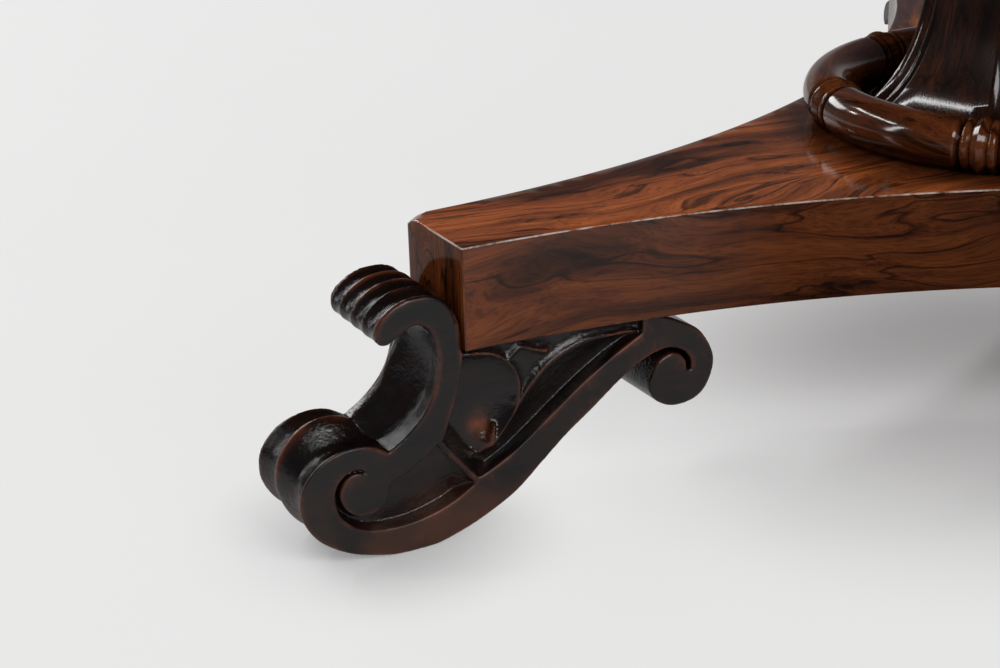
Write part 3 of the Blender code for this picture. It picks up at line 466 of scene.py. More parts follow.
carved_rosewood, tree, shader, colour, fibres, grain = wood_material(
    "carved_dark_rosewood", 0.02, (9.0, 120.0, 120.0), (6.0, 40.0, 40.0),
    [(0.30, (0.0030, 0.0022, 0.0019)), (0.50, (0.0060, 0.0036, 0.0030)),
     (0.70, (0.0120, 0.0052, 0.0036))], 0.6, 0.7)
tooled = stored(tree, "sunk")
patches = scaled_noise(tree, grain, (46.0, 46.0, 46.0), 4.0).outputs["Fac"]
rubbed = worked_out(tree, "MULTIPLY", stored(tree, "worn"), ranged(tree, patches, (0.40, 0.68)))
height = node(tree, "ShaderNodeSeparateXYZ", {"Vector": grain}).outputs["Z"]
# The foot's colour turns redder towards the floor, in patches.
low = ranged(tree, height, (0.045, 0.004))
low_patches = scaled_noise(tree, grain, (22.0, 30.0, 30.0), 4.0).outputs["Fac"]
redder_low = worked_out(tree, "MULTIPLY", low, ranged(tree, low_patches, (0.38, 0.66)))
colour = mixed(tree, redder_low, colour, (0.062, 0.021, 0.0095, 1.0))
colour = mixed(tree, rubbed, colour, (0.16, 0.040, 0.013, 1.0))
sheen = scaled_noise(tree, grain, (120.0, 120.0, 120.0), 3.0).outputs["Fac"]
rough = worked_out(tree, "MULTIPLY_ADD", sheen, 0.14, ranged(tree, tooled, to=(0.34, 0.08)))
marks = scaled_noise(tree, grain, (330.0, 420.0, 330.0), 6.0, 0.6).outputs["Fac"]
marked = bumped(tree, marks, ranged(tree, tooled, to=(0.08, 0.48)), 0.0010)
feed(tree, shader, {"Base Color": colour, "Roughness": rough, "Specular IOR Level": 0.42, "Normal": marked})


def set_grain(mesh, rule, light_tones=1.0):
    """Store each face corner's place along, across and through the grain, from its position and its face's
    middle, and each face's light tone, which scales the wood's colour to paint light and shade on it."""
    light_tone = mesh.attributes.new("light_tone", "FLOAT", "FACE")
    light_tone.data.foreach_set("value", np.resize(np.float32(light_tones), len(mesh.polygons)))
    corners = np.zeros(len(mesh.loops), np.int32)
    mesh.loops.foreach_get("vertex_index", corners)
    spots = np.zeros(len(mesh.vertices) * 3)
    mesh.vertices.foreach_get("co", spots)
    spots = spots.reshape(-1, 3)[corners]
    middles = np.zeros(len(mesh.polygons) * 3)
    mesh.polygons.foreach_get("center", middles)
    sizes = np.zeros(len(mesh.polygons), np.int32)
    mesh.polygons.foreach_get("loop_total", sizes)
    middles = np.repeat(middles.reshape(-1, 3), sizes, axis=0)
    grain = mesh.attributes.new("grain", "FLOAT_VECTOR", "CORNER")
    grain.data.foreach_set("vector", rule(spots, middles).astype(np.float32).ravel())


def settle(made, body, slot, *nodes):
    """A finished piece rides on its body and stands for its CAD nodes. Its slot is not used."""
    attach(made, body)
    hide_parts(*nodes)


plate = bmesh.new()
carved_plate(plate)
carving = finished("carving", plate)
whole = bmesh.new()
whole.from_mesh(carving.data)
keel = bmesh.new()
skin(keel, keel_rings())
keel = finished("keel", keel)
whole.from_mesh(keel.data)
bpy.data.objects.remove(keel)
whole.to_mesh(carving.data)
whole.free()
fuse = carving.modifiers.new("fuse", "REMESH")
fuse.mode = "VOXEL"
fuse.voxel_size = FUSE_SIZE
fuse.use_smooth_shade = True
applied(carving)

vertices = np.zeros(len(carving.data.vertices) * 3)
carving.data.vertices.foreach_get("co", vertices)
vertices = vertices.reshape(-1, 3)
across = vertices[:, 1] / FOOT_HALF_WIDTH
flute = np.clip(vertices[:, 1] / (FOOT_HALF_WIDTH - ROLL_ARRIS / 2), -1, 1) * ROLL_FLUTES / 2
fluted = ROLL_FLUTE_DEPTH * np.abs(np.sin(math.pi * flute)) ** 1.25
carve(vertices, smooth_curve(ROLL_EDGE[1:13], EDGE_STEP),
      lambda part: fluted * shoulder(part, 0.12) * shoulder(1 - part, 0.26))
front_edge = smooth_curve(STRAP_EDGE[:10], EDGE_STEP)
crest_rise = np.clip(FRONT_CREST_RADIUS - np.linalg.norm(front_edge - FRONT_CREST, axis=1), 0, None)
crest = np.where(np.abs(across) < 0.5, np.cos(math.pi * across) ** 2, 0.0)
hollow = FRONT_FLUTE_DEPTH * np.abs(np.sin(math.pi * across)) ** 1.3
carve(vertices, front_edge,
      lambda part: hollow * shoulder(part, 0.10) * shoulder(1 - part, 0.14)
      - crest * np.interp(part, np.linspace(0, 1, len(front_edge)), crest_rise))
vertices[:, 2] = np.maximum(vertices[:, 2], FLOOR_GAP)
carving.data.vertices.foreach_set("co", vertices.ravel())
normals = np.zeros(len(vertices) * 3)
carving.data.vertices.foreach_get("normal", normals)
normals = normals.reshape(-1, 3)
edges = np.zeros(len(carving.data.edges) * 2, np.int32)
carving.data.edges.foreach_get("vertices", edges)
first, second = edges.reshape(-1, 2).T
neighbours = np.bincount(first, minlength=len(vertices)) + np.bincount(second, minlength=len(vertices))


def neighbour_mean(values):
    """Mean of each vertex's neighbours' values."""
    total = np.zeros_like(values)
    np.add.at(total, first, values[second])
    np.add.at(total, second, values[first])
    return total / (neighbours[:, None] if values.ndim > 1 else neighbours)


blurred = vertices
for _ in range(6):
    blurred = neighbour_mean(blurred)
convex = ((vertices - blurred) * normals).sum(axis=1)
for _ in range(2):
    convex = neighbour_mean(convex)
worn = np.clip(convex * WEAR_GAIN - WEAR_START, 0, WEAR_MOST)
worn += RED_MOST * np.exp(-((vertices[:, [0, 2]] - RED_SPOT) ** 2).sum(axis=1) / RED_SPREAD)
sunk = shoulder(FOOT_HALF_WIDTH - np.abs(vertices[:, 1]), SUNK_FROM)
for name, values in (("worn", worn), ("sunk", sunk)):
    carving.data.attributes.new(name, "FLOAT", "POINT").data.foreach_set("value", values.astype(np.float32))
edged = worn
for _ in range(4):
    spread = edged.copy()
    np.maximum.at(spread, first, edged[second])
    np.maximum.at(spread, second, edged[first])
    edged = spread
plain = carving.vertex_groups.new(name="plain")
for weight in range(11):
    plain.add(np.flatnonzero(np.round(edged * 10) == weight).tolist(), 1 - 0.085 * weight, "REPLACE")
thin = carving.modifiers.new("thin", "DECIMATE")
thin.ratio = 0.40
thin.vertex_group = "plain"
thin.vertex_group_factor = 3.0
applied(carving)
carving.vertex_groups.clear()
carving.data.transform(Matrix.Scale(MM, 4))
set_grain(carving.data, lambda spots, middles: spots)
carving.data.materials.append(carved_rosewood)
for side, degrees in ARM_ANGLES.items():
    heading = math.radians(degrees)
    foot = bpy.data.objects.new("carved_foot_" + side, carving.data.copy())
    bpy.context.scene.collection.objects.link(foot)
    foot.data.transform(Matrix.Rotation(heading, 4, "Z") @ Matrix.Translation((ARM_REACH, 0.0, 0.0)))
    settle(foot, "base", "carved_dark_rosewood", "foot_" + side)
bpy.data.objects.remove(carving)

# Platform
# A slab with three arms and hollow sides between them, veneered in figured rosewood that runs along each arm.
# Its top is painted lighter, as if lit from above, and its arm ends and its sides towards the column painted
# darker, where shade falls. Its arrises are worn, most at one arm's outer corner, with a painted highlight in
# patches along them, and painted shade darkens the top next to the ring.
PLATFORM_BOTTOM = 0.102
PLATFORM_TOP = 0.156
ARM_END_WIDTH = 0.0622
SIDE_RADIUS = 0.6507
END_STEPS = 22
SIDE_STEPS = 120
PLAN_HALF = 0.40
PLAN_STEP = 0.011
RIM_MARGIN = 0.0018
SEAM_ANGLES = (30.0, 150.0, 270.0)
SEAM_LENGTH = 0.15
SEAM_STEPS = 14
ARRIS_ROUND = 0.0009
CORNER_WEAR = 0.0040
CORNER_REACH = 0.0052
CORNER_PATCH = 0.030
CORNER_STEP = 0.0022
# Painted light: the top's tone makes it much lighter than the sides, as if lit from above.
TOP_LIT_TONE = 3.3
# Painted shade: the arm ends' tone makes them darker.
END_SHADE_TONE = 0.85
# Painted shade: the sides' tone darkens them towards the column, where shade falls under the table.
SIDE_SHADE_TONES = ((0.17, 0.37), (0.72, 1.25))
LIT_TOP_FROM = 1.5
SHINE = 0.30
DULL_SHINE = 0.04
LIT_TOP_SHINE = 0.13
# Painted shade: the top is darkened next to the ring.
RING_SHADE_START = 0.133
RING_SHADE_REACH = 0.030
RING_SHADE_MOST = 0.8

figured_rosewood, tree, shader, colour, fibres, grain = wood_material(
    "figured_rosewood", 0.095, (7.0, 125.0, 125.0), (3.0, 34.0, 34.0),
    [(0.28, (0.034, 0.0105, 0.0046)), (0.42, (0.088, 0.0220, 0.0064)), (0.55, (0.118, 0.0310, 0.0082)),
     (0.70, (0.150, 0.0415, 0.0105))], 0.20, 0.6)
# Painted light and shade: each face's light tone scales the wood's colour.
colour = node(tree, "ShaderNodeVectorMath", {0: colour, "Scale": stored(tree, "light_tone")},
              operation="SCALE").outputs[0]
# Painted shade darkens the top next to the ring.
colour = mixed(tree, stored(tree, "ring_shade"), colour, (0.006, 0.0015, 0.0007, 1.0))
# Painted highlight: a pale colour in patches along the rounded arrises.
arris_glint_patches = scaled_noise(tree, grain, (70.0, 40.0, 40.0), 4.0, 0.65).outputs["Fac"]
arris_glints = worked_out(tree, "MULTIPLY", ranged(tree, arris_glint_patches, (0.42, 0.58)), stored(tree, "arris"))
colour = mixed(tree, arris_glints, colour, (0.42, 0.36, 0.32, 1.0))


def polish(tree, shader, colour, fibres, grain):
    """Old French polish over a wood's colour: glossy, a little uneven, with the pores just showing, and
    duller where a face's tone is painted dark for shade, and on the top, whose tone is painted light."""
    haze = scaled_noise(tree, grain, (14.0, 22.0, 22.0), 3.0).outputs["Fac"]
    light_tone = stored(tree, "light_tone")
    dull = ranged(tree, light_tone, (END_SHADE_TONE, 1.0), (DULL_SHINE, SHINE))
    on_lit_top = ranged(tree, light_tone, (LIT_TOP_FROM, TOP_LIT_TONE), (SHINE, LIT_TOP_SHINE))
    feed(tree, shader, {"Base Color": colour, "Roughness": ranged(tree, haze, to=(0.04, 0.18)),
                        "Normal": bumped(tree, fibres, 0.10, 0.0002),
                        "Specular IOR Level": worked_out(tree, "MINIMUM", dull, on_lit_top)})


polish(tree, shader, colour, fibres, grain)

plain_mahogany, tree, shader, colour, fibres, grain = wood_material(
    "plain_mahogany", 0.008, (5.0, 110.0, 110.0), (3.0, 30.0, 30.0),
    [(0.30, (0.060, 0.022, 0.011)), (0.50, (0.110, 0.042, 0.020)), (0.70, (0.150, 0.062, 0.030))], 0.7, 0.6)
feed(tree, shader, {"Base Color": colour, "Roughness": 0.55, "Normal": bumped(tree, fibres, 0.25, 0.0003)})

half_end = ARM_END_WIDTH / 2
reach_term = ARM_REACH + math.sqrt(3) * half_end
square_term = ARM_REACH ** 2 + half_end ** 2 - SIDE_RADIUS ** 2
side_centre = (reach_term + math.sqrt(reach_term ** 2 - 4 * square_term)) / 2
hollow_centre = np.array((side_centre / 2, side_centre * math.sqrt(3) / 2))
side_start = math.atan2(half_end - hollow_centre[1], ARM_REACH - hollow_centre[0]) % (2 * math.pi)
side_end = 2 * math.radians(240) - side_start


def turned_flat(points, degrees):
    """Plan points turned about the middle."""
    angle = math.radians(degrees)
    turn = np.array(((math.cos(angle), math.sin(angle)), (-math.sin(angle), math.cos(angle))))
    return np.asarray(points) @ turn


def square_grid(half, step):
    """Evenly spaced plan points over a square about the middle."""
    columns, rows = np.meshgrid(np.arange(-half, half, step), np.arange(-half, half, step))
    return np.stack([columns.ravel(), rows.ravel()], axis=1)


outline = []
for degrees in sorted(ARM_ANGLES.values()):
    end = [(ARM_REACH, across) for across in np.linspace(-half_end, half_end, END_STEPS, endpoint=False)]
    hollow = [hollow_centre + SIDE_RADIUS * np.array((math.cos(angle), math.sin(angle)))
              for angle in np.linspace(side_start, side_end, SIDE_STEPS, endpoint=False)]
    outline.append(turned_flat(end + hollow, degrees))
outline = np.vstack(outline)
worn_corner = turned_flat([(ARM_REACH, -half_end)], ARM_ANGLES["left"])[0]
spread = square_grid(PLAN_HALF, PLAN_STEP)
spread = spread[np.hypot(*(spread - worn_corner).T) > CORNER_PATCH]
close = square_grid(CORNER_PATCH, CORNER_STEP) + worn_corner
seam = [(SEAM_LENGTH * step / SEAM_STEPS, 0.0) for step in range(1, SEAM_STEPS + 1)]
seams = [turned_flat(seam, degrees) for degrees in SEAM_ANGLES]
spread = np.vstack([spread, close, [(0.0, 0.0)], *seams])
spread = spread[inside(spread, outline)]
spread = spread[distance_to(spread, np.vstack([outline, outline[:1]]))[0] > RIM_MARGIN]
rim = [(index, (index + 1) % len(outline)) for index in range(len(outline))]
plan = [Vector(spot) for spot in np.vstack([outline, spread])]
spots, _, faces, _, _, _ = delaunay_2d_cdt(plan, rim, [], 1, 1e-6)
slab = bmesh.new()
upper = [slab.verts.new((spot.x, spot.y, PLATFORM_TOP)) for spot in spots]
lower = [slab.verts.new((spot.x, spot.y, PLATFORM_BOTTOM)) for spot in spots]
for face in faces:
    slab.faces.new([upper[index] for index in face])
    slab.faces.new([lower[index] for index in reversed(face)])
slab.verts.index_update()
for edge in [edge for edge in slab.edges if edge.is_boundary and edge.verts[0].co.z > PLATFORM_BOTTOM + MM]:
    one, other = edge.verts
    slab.faces.new((one, other, lower[other.index], lower[one.index]))


def eased(made, width, segments):
    """Round an object's sharp edges."""
    ease = made.modifiers.new("ease", "BEVEL")
    ease.width = width
    ease.segments = segments
    ease.limit_method = "ANGLE"
    ease.angle_limit = math.radians(40)
    return applied(made)


def smoothed(made, degrees):
    """Shade an object smooth, apart from edges sharper than an angle."""
    made.data.shade_smooth()
    made.data.set_sharp_from_angle(angle=math.radians(degrees))


platform = eased(finished("veneered_platform", slab), ARRIS_ROUND, 3)
for vertex in platform.data.vertices:
    away = (vertex.co.xy - Vector(worn_corner)).length
    height = (vertex.co.z - PLATFORM_BOTTOM) / (PLATFORM_TOP - PLATFORM_BOTTOM)
    vertex.co.z -= CORNER_WEAR * math.exp(-(away / CORNER_REACH) ** 2) * height ** 3


def grain_by_arm(spots, middles):
    """Grain along whichever arm a face belongs to, each arm with a figure of its own."""
    azimuth = np.degrees(np.arctan2(middles[:, 1], middles[:, 0])) % 360
    along = np.zeros_like(spots)
    for index, degrees in enumerate(ARM_ANGLES.values()):
        near = np.abs((azimuth - degrees + 180) % 360 - 180) <= 60
        plan = turned_flat(spots[:, :2], -degrees)
        middle = turned_flat(middles[:, :2], -degrees)
        edge = (middles[:, 2] > PLATFORM_BOTTOM + 2 * MM) & (middles[:, 2] < PLATFORM_TOP - 2 * MM)
        end = edge & (middle[:, 0] > ARM_REACH - 2 * MM)
        side = np.where(edge, np.sign(middle[:, 1]) * 0.5, 0.0)
        across = np.where(edge, spots[:, 2] + side, plan[:, 1])
        arm = np.column_stack([plan[:, 0] + 3.1 * index, across, side])
        arm[end] = np.column_stack([spots[:, 2] + 1.9 * index, plan[:, 1], side])[end]
        along[near] = arm[near]
    return along


end_ways = [Vector((math.cos(angle), math.sin(angle), 0.0))
            for angle in map(math.radians, ARM_ANGLES.values())]
# Painted light and shade in each face's tone: the top lighter, as if lit from above, the arm ends darker, and
# the sides darker towards the column, where shade falls.
light_tones = []
for face in platform.data.polygons:
    if face.normal.z > 0.5:
        light_tones.append(TOP_LIT_TONE)
    elif max(face.normal.dot(way) for way in end_ways) > 0.9:
        light_tones.append(END_SHADE_TONE)
    else:
        light_tones.append(np.interp(face.center.xy.length, *SIDE_SHADE_TONES))
set_grain(platform.data, grain_by_arm, light_tones)
# The rounded arris faces, which get a painted highlight.
arris = platform.data.attributes.new("arris", "FLOAT", "FACE")
arris.data.foreach_set("value", [float(0.2 < face.normal.z < 0.96) for face in platform.data.polygons])
# Painted shade on the top next to the ring, fading out away from it.
ring_shading = []
for vertex in platform.data.vertices:
    clear = shoulder(vertex.co.xy.length - RING_SHADE_START, RING_SHADE_REACH)
    ring_shading.append(RING_SHADE_MOST * (vertex.co.z > PLATFORM_TOP - MM) * (1 - clear))
platform.data.attributes.new("ring_shade", "FLOAT", "POINT").data.foreach_set("value", ring_shading)
platform.data.materials.append(figured_rosewood)
platform.data.materials.append(plain_mahogany)
for face in platform.data.polygons:
    face.material_index = int(face.center.z < PLATFORM_BOTTOM + MM / 10)
smoothed(platform, 35)
settle(platform, "base", "figured_rosewood", "platform")

# Ring moulding
# A round rosewood ring planted on the platform about the column, turned like bamboo canes: plain lengths
# with a wide bead between two narrow ones at each joint. The joints are set by eye, not quite evenly.
RING_RADIUS = 0.1186
RING_TUBE = 0.0141
TIE_ANGLES = [8.0, 69.5, 131.0, 192.0, 245.0, 306.5]
TIE_WIDTH = 0.025
TIE_DEPTH = 0.0044
PLAIN_LEVEL = 0.64
SEAT_GAP = 0.0003
GROOVE_SHADE_TONES = ((-0.0022, -0.0006), (0.25, 1.0))


def growing_tree(name, inputs):
    """A geometry node tree with named inputs, and what its input node gives."""
    tree = bpy.data.node_groups.new(name, "GeometryNodeTree")
    tree.is_modifier = True
    for label, kind in inputs:
        tree.interface.new_socket(label, in_out="INPUT", socket_type="NodeSocket" + kind)
    tree.interface.new_socket("Geometry", in_out="OUTPUT", socket_type="NodeSocketGeometry")
    return tree, tree.nodes.new("NodeGroupInput").outputs


def give_coated(tree, geometry, finish):
    """End a geometry node tree: what it made as one mesh, with its finish."""
    whole = node(tree, "GeometryNodeRealizeInstances", {"Geometry": geometry}).outputs["Geometry"]
    coated = node(tree, "GeometryNodeSetMaterial", {"Geometry": whole, "Material": finish})
    node(tree, "NodeGroupOutput", {"Geometry": coated.outputs["Geometry"]})


ring_tree, given = growing_tree("ring_moulding", (
    ("Geometry", "Geometry"), ("Ring Radius", "Float"), ("Tube Radius", "Float"), ("Tie Width", "Float"),
    ("Tie Rise", "Float"), ("Base Height", "Float"), ("Seat Height", "Float"), ("Finish", "Material")))
circle = "GeometryNodeCurvePrimitiveCircle"
path = node(ring_tree, circle, {"Resolution": 720, "Radius": given["Ring Radius"]})
lift = node(ring_tree, "ShaderNodeCombineXYZ", {"Z": given["Base Height"]}).outputs[0]
raised = node(ring_tree, "GeometryNodeSetPosition", {"Geometry": path.outputs["Curve"], "Offset": lift})
near_tie = node(ring_tree, "GeometryNodeProximity", {0: given["Geometry"]}, target_element="POINTS")
part = node(ring_tree, "ShaderNodeMath", {0: near_tie.outputs["Distance"], 1: given["Tie Width"]},
            operation="DIVIDE", use_clamp=True)
shape = node(ring_tree, "ShaderNodeFloatCurve", {"Value": part.outputs[0]})
profile = shape.mapping.curves[0]
for place, height in ((0.34, 0.30), (0.52, PLAIN_LEVEL), (0.76, 0.0)):
    profile.points.new(place, height)
profile.points[0].location = (0.0, 1.0)
profile.points[len(profile.points) - 1].location = (1.0, PLAIN_LEVEL)
for point, handle in zip(profile.points, ("AUTO", "VECTOR", "AUTO", "VECTOR", "VECTOR")):
    point.handle_type = handle
shape.mapping.update()
swell = worked_out(ring_tree, "SUBTRACT", shape.outputs["Value"], PLAIN_LEVEL)
rise = worked_out(ring_tree, "MULTIPLY", swell, given["Tie Rise"])
wide = worked_out(ring_tree, "ADD", rise, given["Tube Radius"])
tube = node(ring_tree, circle, {"Resolution": 40, "Radius": 1.0})
swept = node(ring_tree, "GeometryNodeCurveToMesh", {
    "Curve": raised.outputs["Geometry"], "Profile Curve": tube.outputs["Curve"], "Scale": wide})
position = ring_tree.nodes.new("GeometryNodeInputPosition").outputs[0]
spot = node(ring_tree, "ShaderNodeSeparateXYZ", {0: position}).outputs
cut = worked_out(ring_tree, "MAXIMUM", spot["Z"], given["Seat Height"])
seated = node(ring_tree, "ShaderNodeCombineXYZ", {"X": spot["X"], "Y": spot["Y"], "Z": cut}).outputs[0]
flat = node(ring_tree, "GeometryNodeSetPosition", {"Geometry": swept.outputs["Mesh"], "Position": seated})
give_coated(ring_tree, flat.outputs["Geometry"], given["Finish"])


def grown(name, builder, tree, values):
    """A mesh grown by a node tree from a starting mesh, its named inputs set first."""
    made = finished(name, builder)
    modifier = made.modifiers.new(name, "NODES")
    modifier.node_group = tree
    for item in tree.interface.items_tree:
        if item.in_out == "INPUT" and item.name in values:
            modifier[item.identifier] = values[item.name]
    return applied(made)


def grain_around(radius, offset):
    """Grain that runs round the middle at a radius."""
    def rule(spots, middles):
        azimuth = np.arctan2(middles[:, 1], middles[:, 0])
        angle = azimuth + (np.arctan2(spots[:, 1], spots[:, 0]) - azimuth + math.pi) % (2 * math.pi) - math.pi
        across = np.hypot(spots[:, 0], spots[:, 1]) - radius
        return np.column_stack([angle * radius + offset, across, spots[:, 2]])
    return rule


ties = bmesh.new()
for degrees in TIE_ANGLES:
    angle = math.radians(degrees)
    ties.verts.new((RING_RADIUS * math.cos(angle), RING_RADIUS * math.sin(angle), PLATFORM_TOP + RING_TUBE))
ring = grown("bamboo_ring", ties, ring_tree, {
    "Ring Radius": RING_RADIUS, "Tube Radius": RING_TUBE, "Tie Width": TIE_WIDTH / 2, "Tie Rise": TIE_DEPTH,
    "Base Height": PLATFORM_TOP + RING_TUBE, "Seat Height": PLATFORM_TOP + SEAT_GAP,
    "Finish": figured_rosewood})
middles = np.array([face.center for face in ring.data.polygons])
out = np.hypot(middles[:, 0], middles[:, 1]) - RING_RADIUS
tube = np.hypot(out, middles[:, 2] - PLATFORM_TOP - RING_TUBE)
# Painted shade: faces sunk in the tie grooves get a darker tone.
set_grain(ring.data, grain_around(RING_RADIUS, 7.0), np.interp(tube - RING_TUBE, *GROOVE_SHADE_TONES))
smoothed(ring, 32)
settle(ring, "base", "figured_rosewood", "ring_moulding")

# Column
# A six-sided tapering shaft that flares out on the platform, a round collar and a flared capital, all of
# rosewood. Each angle is worked with a bead between two coves. It stands turned a little from the arms.
SHAFT_BOTTOM = 0.1563
SHAFT_TOP = 0.5603
NECK_RADIUS = 0.050
SHAFT_SWELL = 0.025
SWELL_POWER = 1.3
FLARE_SPREAD = 0.0435
FLARE_HEIGHT = 0.0251
CAPITAL_BOTTOM = 0.5869
CAPITAL_TOP = 0.6644
CAPITAL_SPREAD = 0.044
CAPITAL_FLARE = 0.026
COLUMN_TURN = 8.9
ANGLE_PROFILE = [(0.0, 9.2), (1.3, 9.5), (2.4, 10.4), (3.1, 12.0), (4.2, 13.6), (6.0, 13.4), (8.2, 11.4),
                 (10.6, 8.9), (12.8, 7.0)]
ANGLE_LIP = 14.5
PLAIN_RADIUS = 0.072
FLAT_STEPS = 7
SHAFT_LEVELS = 90
SHAFT_CROWDING = 1.6
CAPITAL_LEVELS = 40
CAPITAL_CROWDING = 0.7

column_rosewood, tree, shader, colour, fibres, grain = wood_material(
    "dark_column_rosewood", 0.05, (6.0, 110.0, 110.0), (3.0, 34.0, 34.0),
    [(0.28, (0.008, 0.0042, 0.0030)), (0.45, (0.024, 0.0085, 0.0042)), (0.58, (0.042, 0.0130, 0.0054)),
     (0.72, (0.075, 0.0210, 0.0072))], 0.35, 0.6)
polish(tree, shader, colour, fibres, grain)


def column_section(corner_radius, height):
    """One level of the column: six flats with a bead between two coves at each angle."""
    flat = corner_radius * math.cos(math.pi / 6)
    scale = MM * min(1.0, corner_radius / PLAIN_RADIUS)
    lip_turn = ANGLE_LIP * scale / corner_radius
    worked = [(-place, depth) for place, depth in ANGLE_PROFILE[:0:-1]] + ANGLE_PROFILE
    loop = []
    for corner in range(6):
        middle = math.radians(COLUMN_TURN) + corner * math.pi / 3
        for place, depth in worked:
            radius = corner_radius - depth * scale
            angle = middle + place * scale / corner_radius
            loop.append((radius * math.cos(angle), radius * math.sin(angle), height))
        for part in np.linspace(0, 1, FLAT_STEPS):
            angle = middle + lip_turn + part * (math.pi / 3 - 2 * lip_turn)
            radius = flat / math.cos(angle - middle - math.pi / 6)
            loop.append((radius * math.cos(angle), radius * math.sin(angle), height))
    return loop


def grain_up_faces(spots, middles):
    """Grain that runs up each of the column's six faces, each with a figure of its own."""
    face = np.floor((np.degrees(np.arctan2(middles[:, 1], middles[:, 0])) - COLUMN_TURN) % 360 / 60)
    aim = np.radians(face * 60 + 30 + COLUMN_TURN)
    across = spots[:, 1] * np.cos(aim) - spots[:, 0] * np.sin(aim)
    out = spots[:, 0] * np.cos(aim) + spots[:, 1] * np.sin(aim)
    return np.column_stack([spots[:, 2] + 1.7 * face + 11.0, across, out])


shaft_rings = []
for part in np.linspace(0, 1, SHAFT_LEVELS) ** SHAFT_CROWDING:
    rise = part * (SHAFT_TOP - SHAFT_BOTTOM)
    spread = SHAFT_SWELL * (1 - part) ** SWELL_POWER + FLARE_SPREAD * math.exp(-rise / FLARE_HEIGHT)
    shaft_rings.append(column_section(NECK_RADIUS + spread, SHAFT_BOTTOM + rise))
capital_rings = []
for part in np.linspace(0, 1, CAPITAL_LEVELS) ** CAPITAL_CROWDING:
    fall = (1 - part) * (CAPITAL_TOP - CAPITAL_BOTTOM)
    spread = CAPITAL_SPREAD * math.exp(-fall / CAPITAL_FLARE)
    capital_rings.append(column_section(NECK_RADIUS + spread, CAPITAL_TOP - fall))
for name, rings, stands_for in (("faceted_shaft", shaft_rings, "column_shaft"),
                                ("flared_capital", capital_rings, "column_capital")):
    builder = bmesh.new()
    skin(builder, rings)
    made = finished(name, builder, column_rosewood)
    set_grain(made.data, grain_up_faces)
    smoothed(made, 28)
    settle(made, "base", "figured_rosewood", stands_for)


def turned(builder, profile, sides, closed=False):
    """Spin a profile of (radius, height) points round the middle."""
    spots = [builder.verts.new((radius, 0.0, height)) for radius, height in profile]
    pairs = list(zip(spots, spots[1:])) + ([(spots[-1], spots[0])] if closed else [])
    edges = [builder.edges.new(pair) for pair in pairs]
    bmesh.ops.spin(builder, geom=spots + edges, axis=(0.0, 0.0, 1.0), cent=(0.0, 0.0, 0.0), steps=sides,
                   angle=2 * math.pi, use_merge=True)
    bmesh.ops.remove_doubles(builder, verts=builder.verts[:], dist=1e-6)


def half_round(radius, middle, half_height, proud, steps):
    """Profile points of a rounded edge, from its lower to its upper end."""
    angles = np.linspace(-math.pi / 2, math.pi / 2, steps)
    return [(radius + proud * math.cos(angle), middle + half_height * math.sin(angle)) for angle in angles]


COLLAR_BOTTOM = 0.5606
COLLAR_HEIGHT = 0.026
COLLAR_INNER = 0.0552
COLLAR_ROUND = 0.0088
collar_middle = COLLAR_BOTTOM + COLLAR_HEIGHT / 2
builder = bmesh.new()
turned(builder, [(0.0, COLLAR_BOTTOM), (COLLAR_INNER, COLLAR_BOTTOM)]
       + half_round(COLLAR_INNER, collar_middle, COLLAR_ROUND, COLLAR_ROUND, 13)
       + [(COLLAR_INNER, COLLAR_BOTTOM + COLLAR_HEIGHT), (0.0, COLLAR_BOTTOM + COLLAR_HEIGHT)], 96)
collar = finished("turned_collar", builder, column_rosewood)
set_grain(collar.data, grain_around(COLLAR_INNER, 23.0))
smoothed(collar, 35)
settle(collar, "base", "figured_rosewood", "column_collar")

# Tie rod, nuts and washers
# A forged iron rod down the middle, with a nut and a washer at each end, draws platform, column and block
# together. These keep their CAD shapes.
forged_iron, tree, shader = new_material("forged_iron")
place = node(tree, "ShaderNodeTexCoord", {}).outputs["Object"]
scale = scaled_noise(tree, place, (240.0, 240.0, 240.0), 4.0).outputs["Fac"]
rusted = colour_steps(tree, scale, [(0.35, (0.045, 0.040, 0.036)), (0.60, (0.095, 0.080, 0.068)),
                                    (0.72, (0.120, 0.062, 0.035))])
feed(tree, shader, {"Base Color": rusted, "Metallic": 0.8, "Roughness": ranged(tree, scale, to=(0.35, 0.7)),
                    "Normal": bumped(tree, scale, 0.3, 0.0004)})
for name in ("tie_rod", "lower_nut", "lower_washer", "upper_nut", "upper_washer"):
    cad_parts[name].material_slots[0].material = forged_iron

# Foot screws
# Two iron wood screws up through each foot into the platform, their slotted heads sunk in wells.
WOOD_SCREW = {"head_radius": 0.0055, "head_height": 0.004, "shank_radius": 0.0029}
DOWNWARDS = (2, -1)
SLOT_TURN = 2.4
screw_tree, given = growing_tree("slotted_screws", (
    ("Geometry", "Geometry"), ("Head Radius", "Float"), ("Head Height", "Float"), ("Shank Radius", "Float"),
    ("Point Radius", "Float"), ("Shank Length", "Float"), ("Slot Size", "Vector"), ("Head Drop", "Vector"),
    ("Shank Drop", "Vector"), ("Finish", "Material")))
head = node(screw_tree, "GeometryNodeMeshCone", {
    "Vertices": 20, "Radius Top": given["Head Radius"], "Radius Bottom": given["Shank Radius"],
    "Depth": given["Head Height"]}).outputs["Mesh"]
sunk_head = node(screw_tree, "GeometryNodeTransform", {"Geometry": head, "Translation": given["Head Drop"]})
slot = node(screw_tree, "GeometryNodeMeshCube", {"Size": given["Slot Size"]}).outputs["Mesh"]
slotted = node(screw_tree, "GeometryNodeMeshBoolean", {"Mesh 1": sunk_head.outputs[0], "Mesh 2": slot},
               operation="DIFFERENCE")
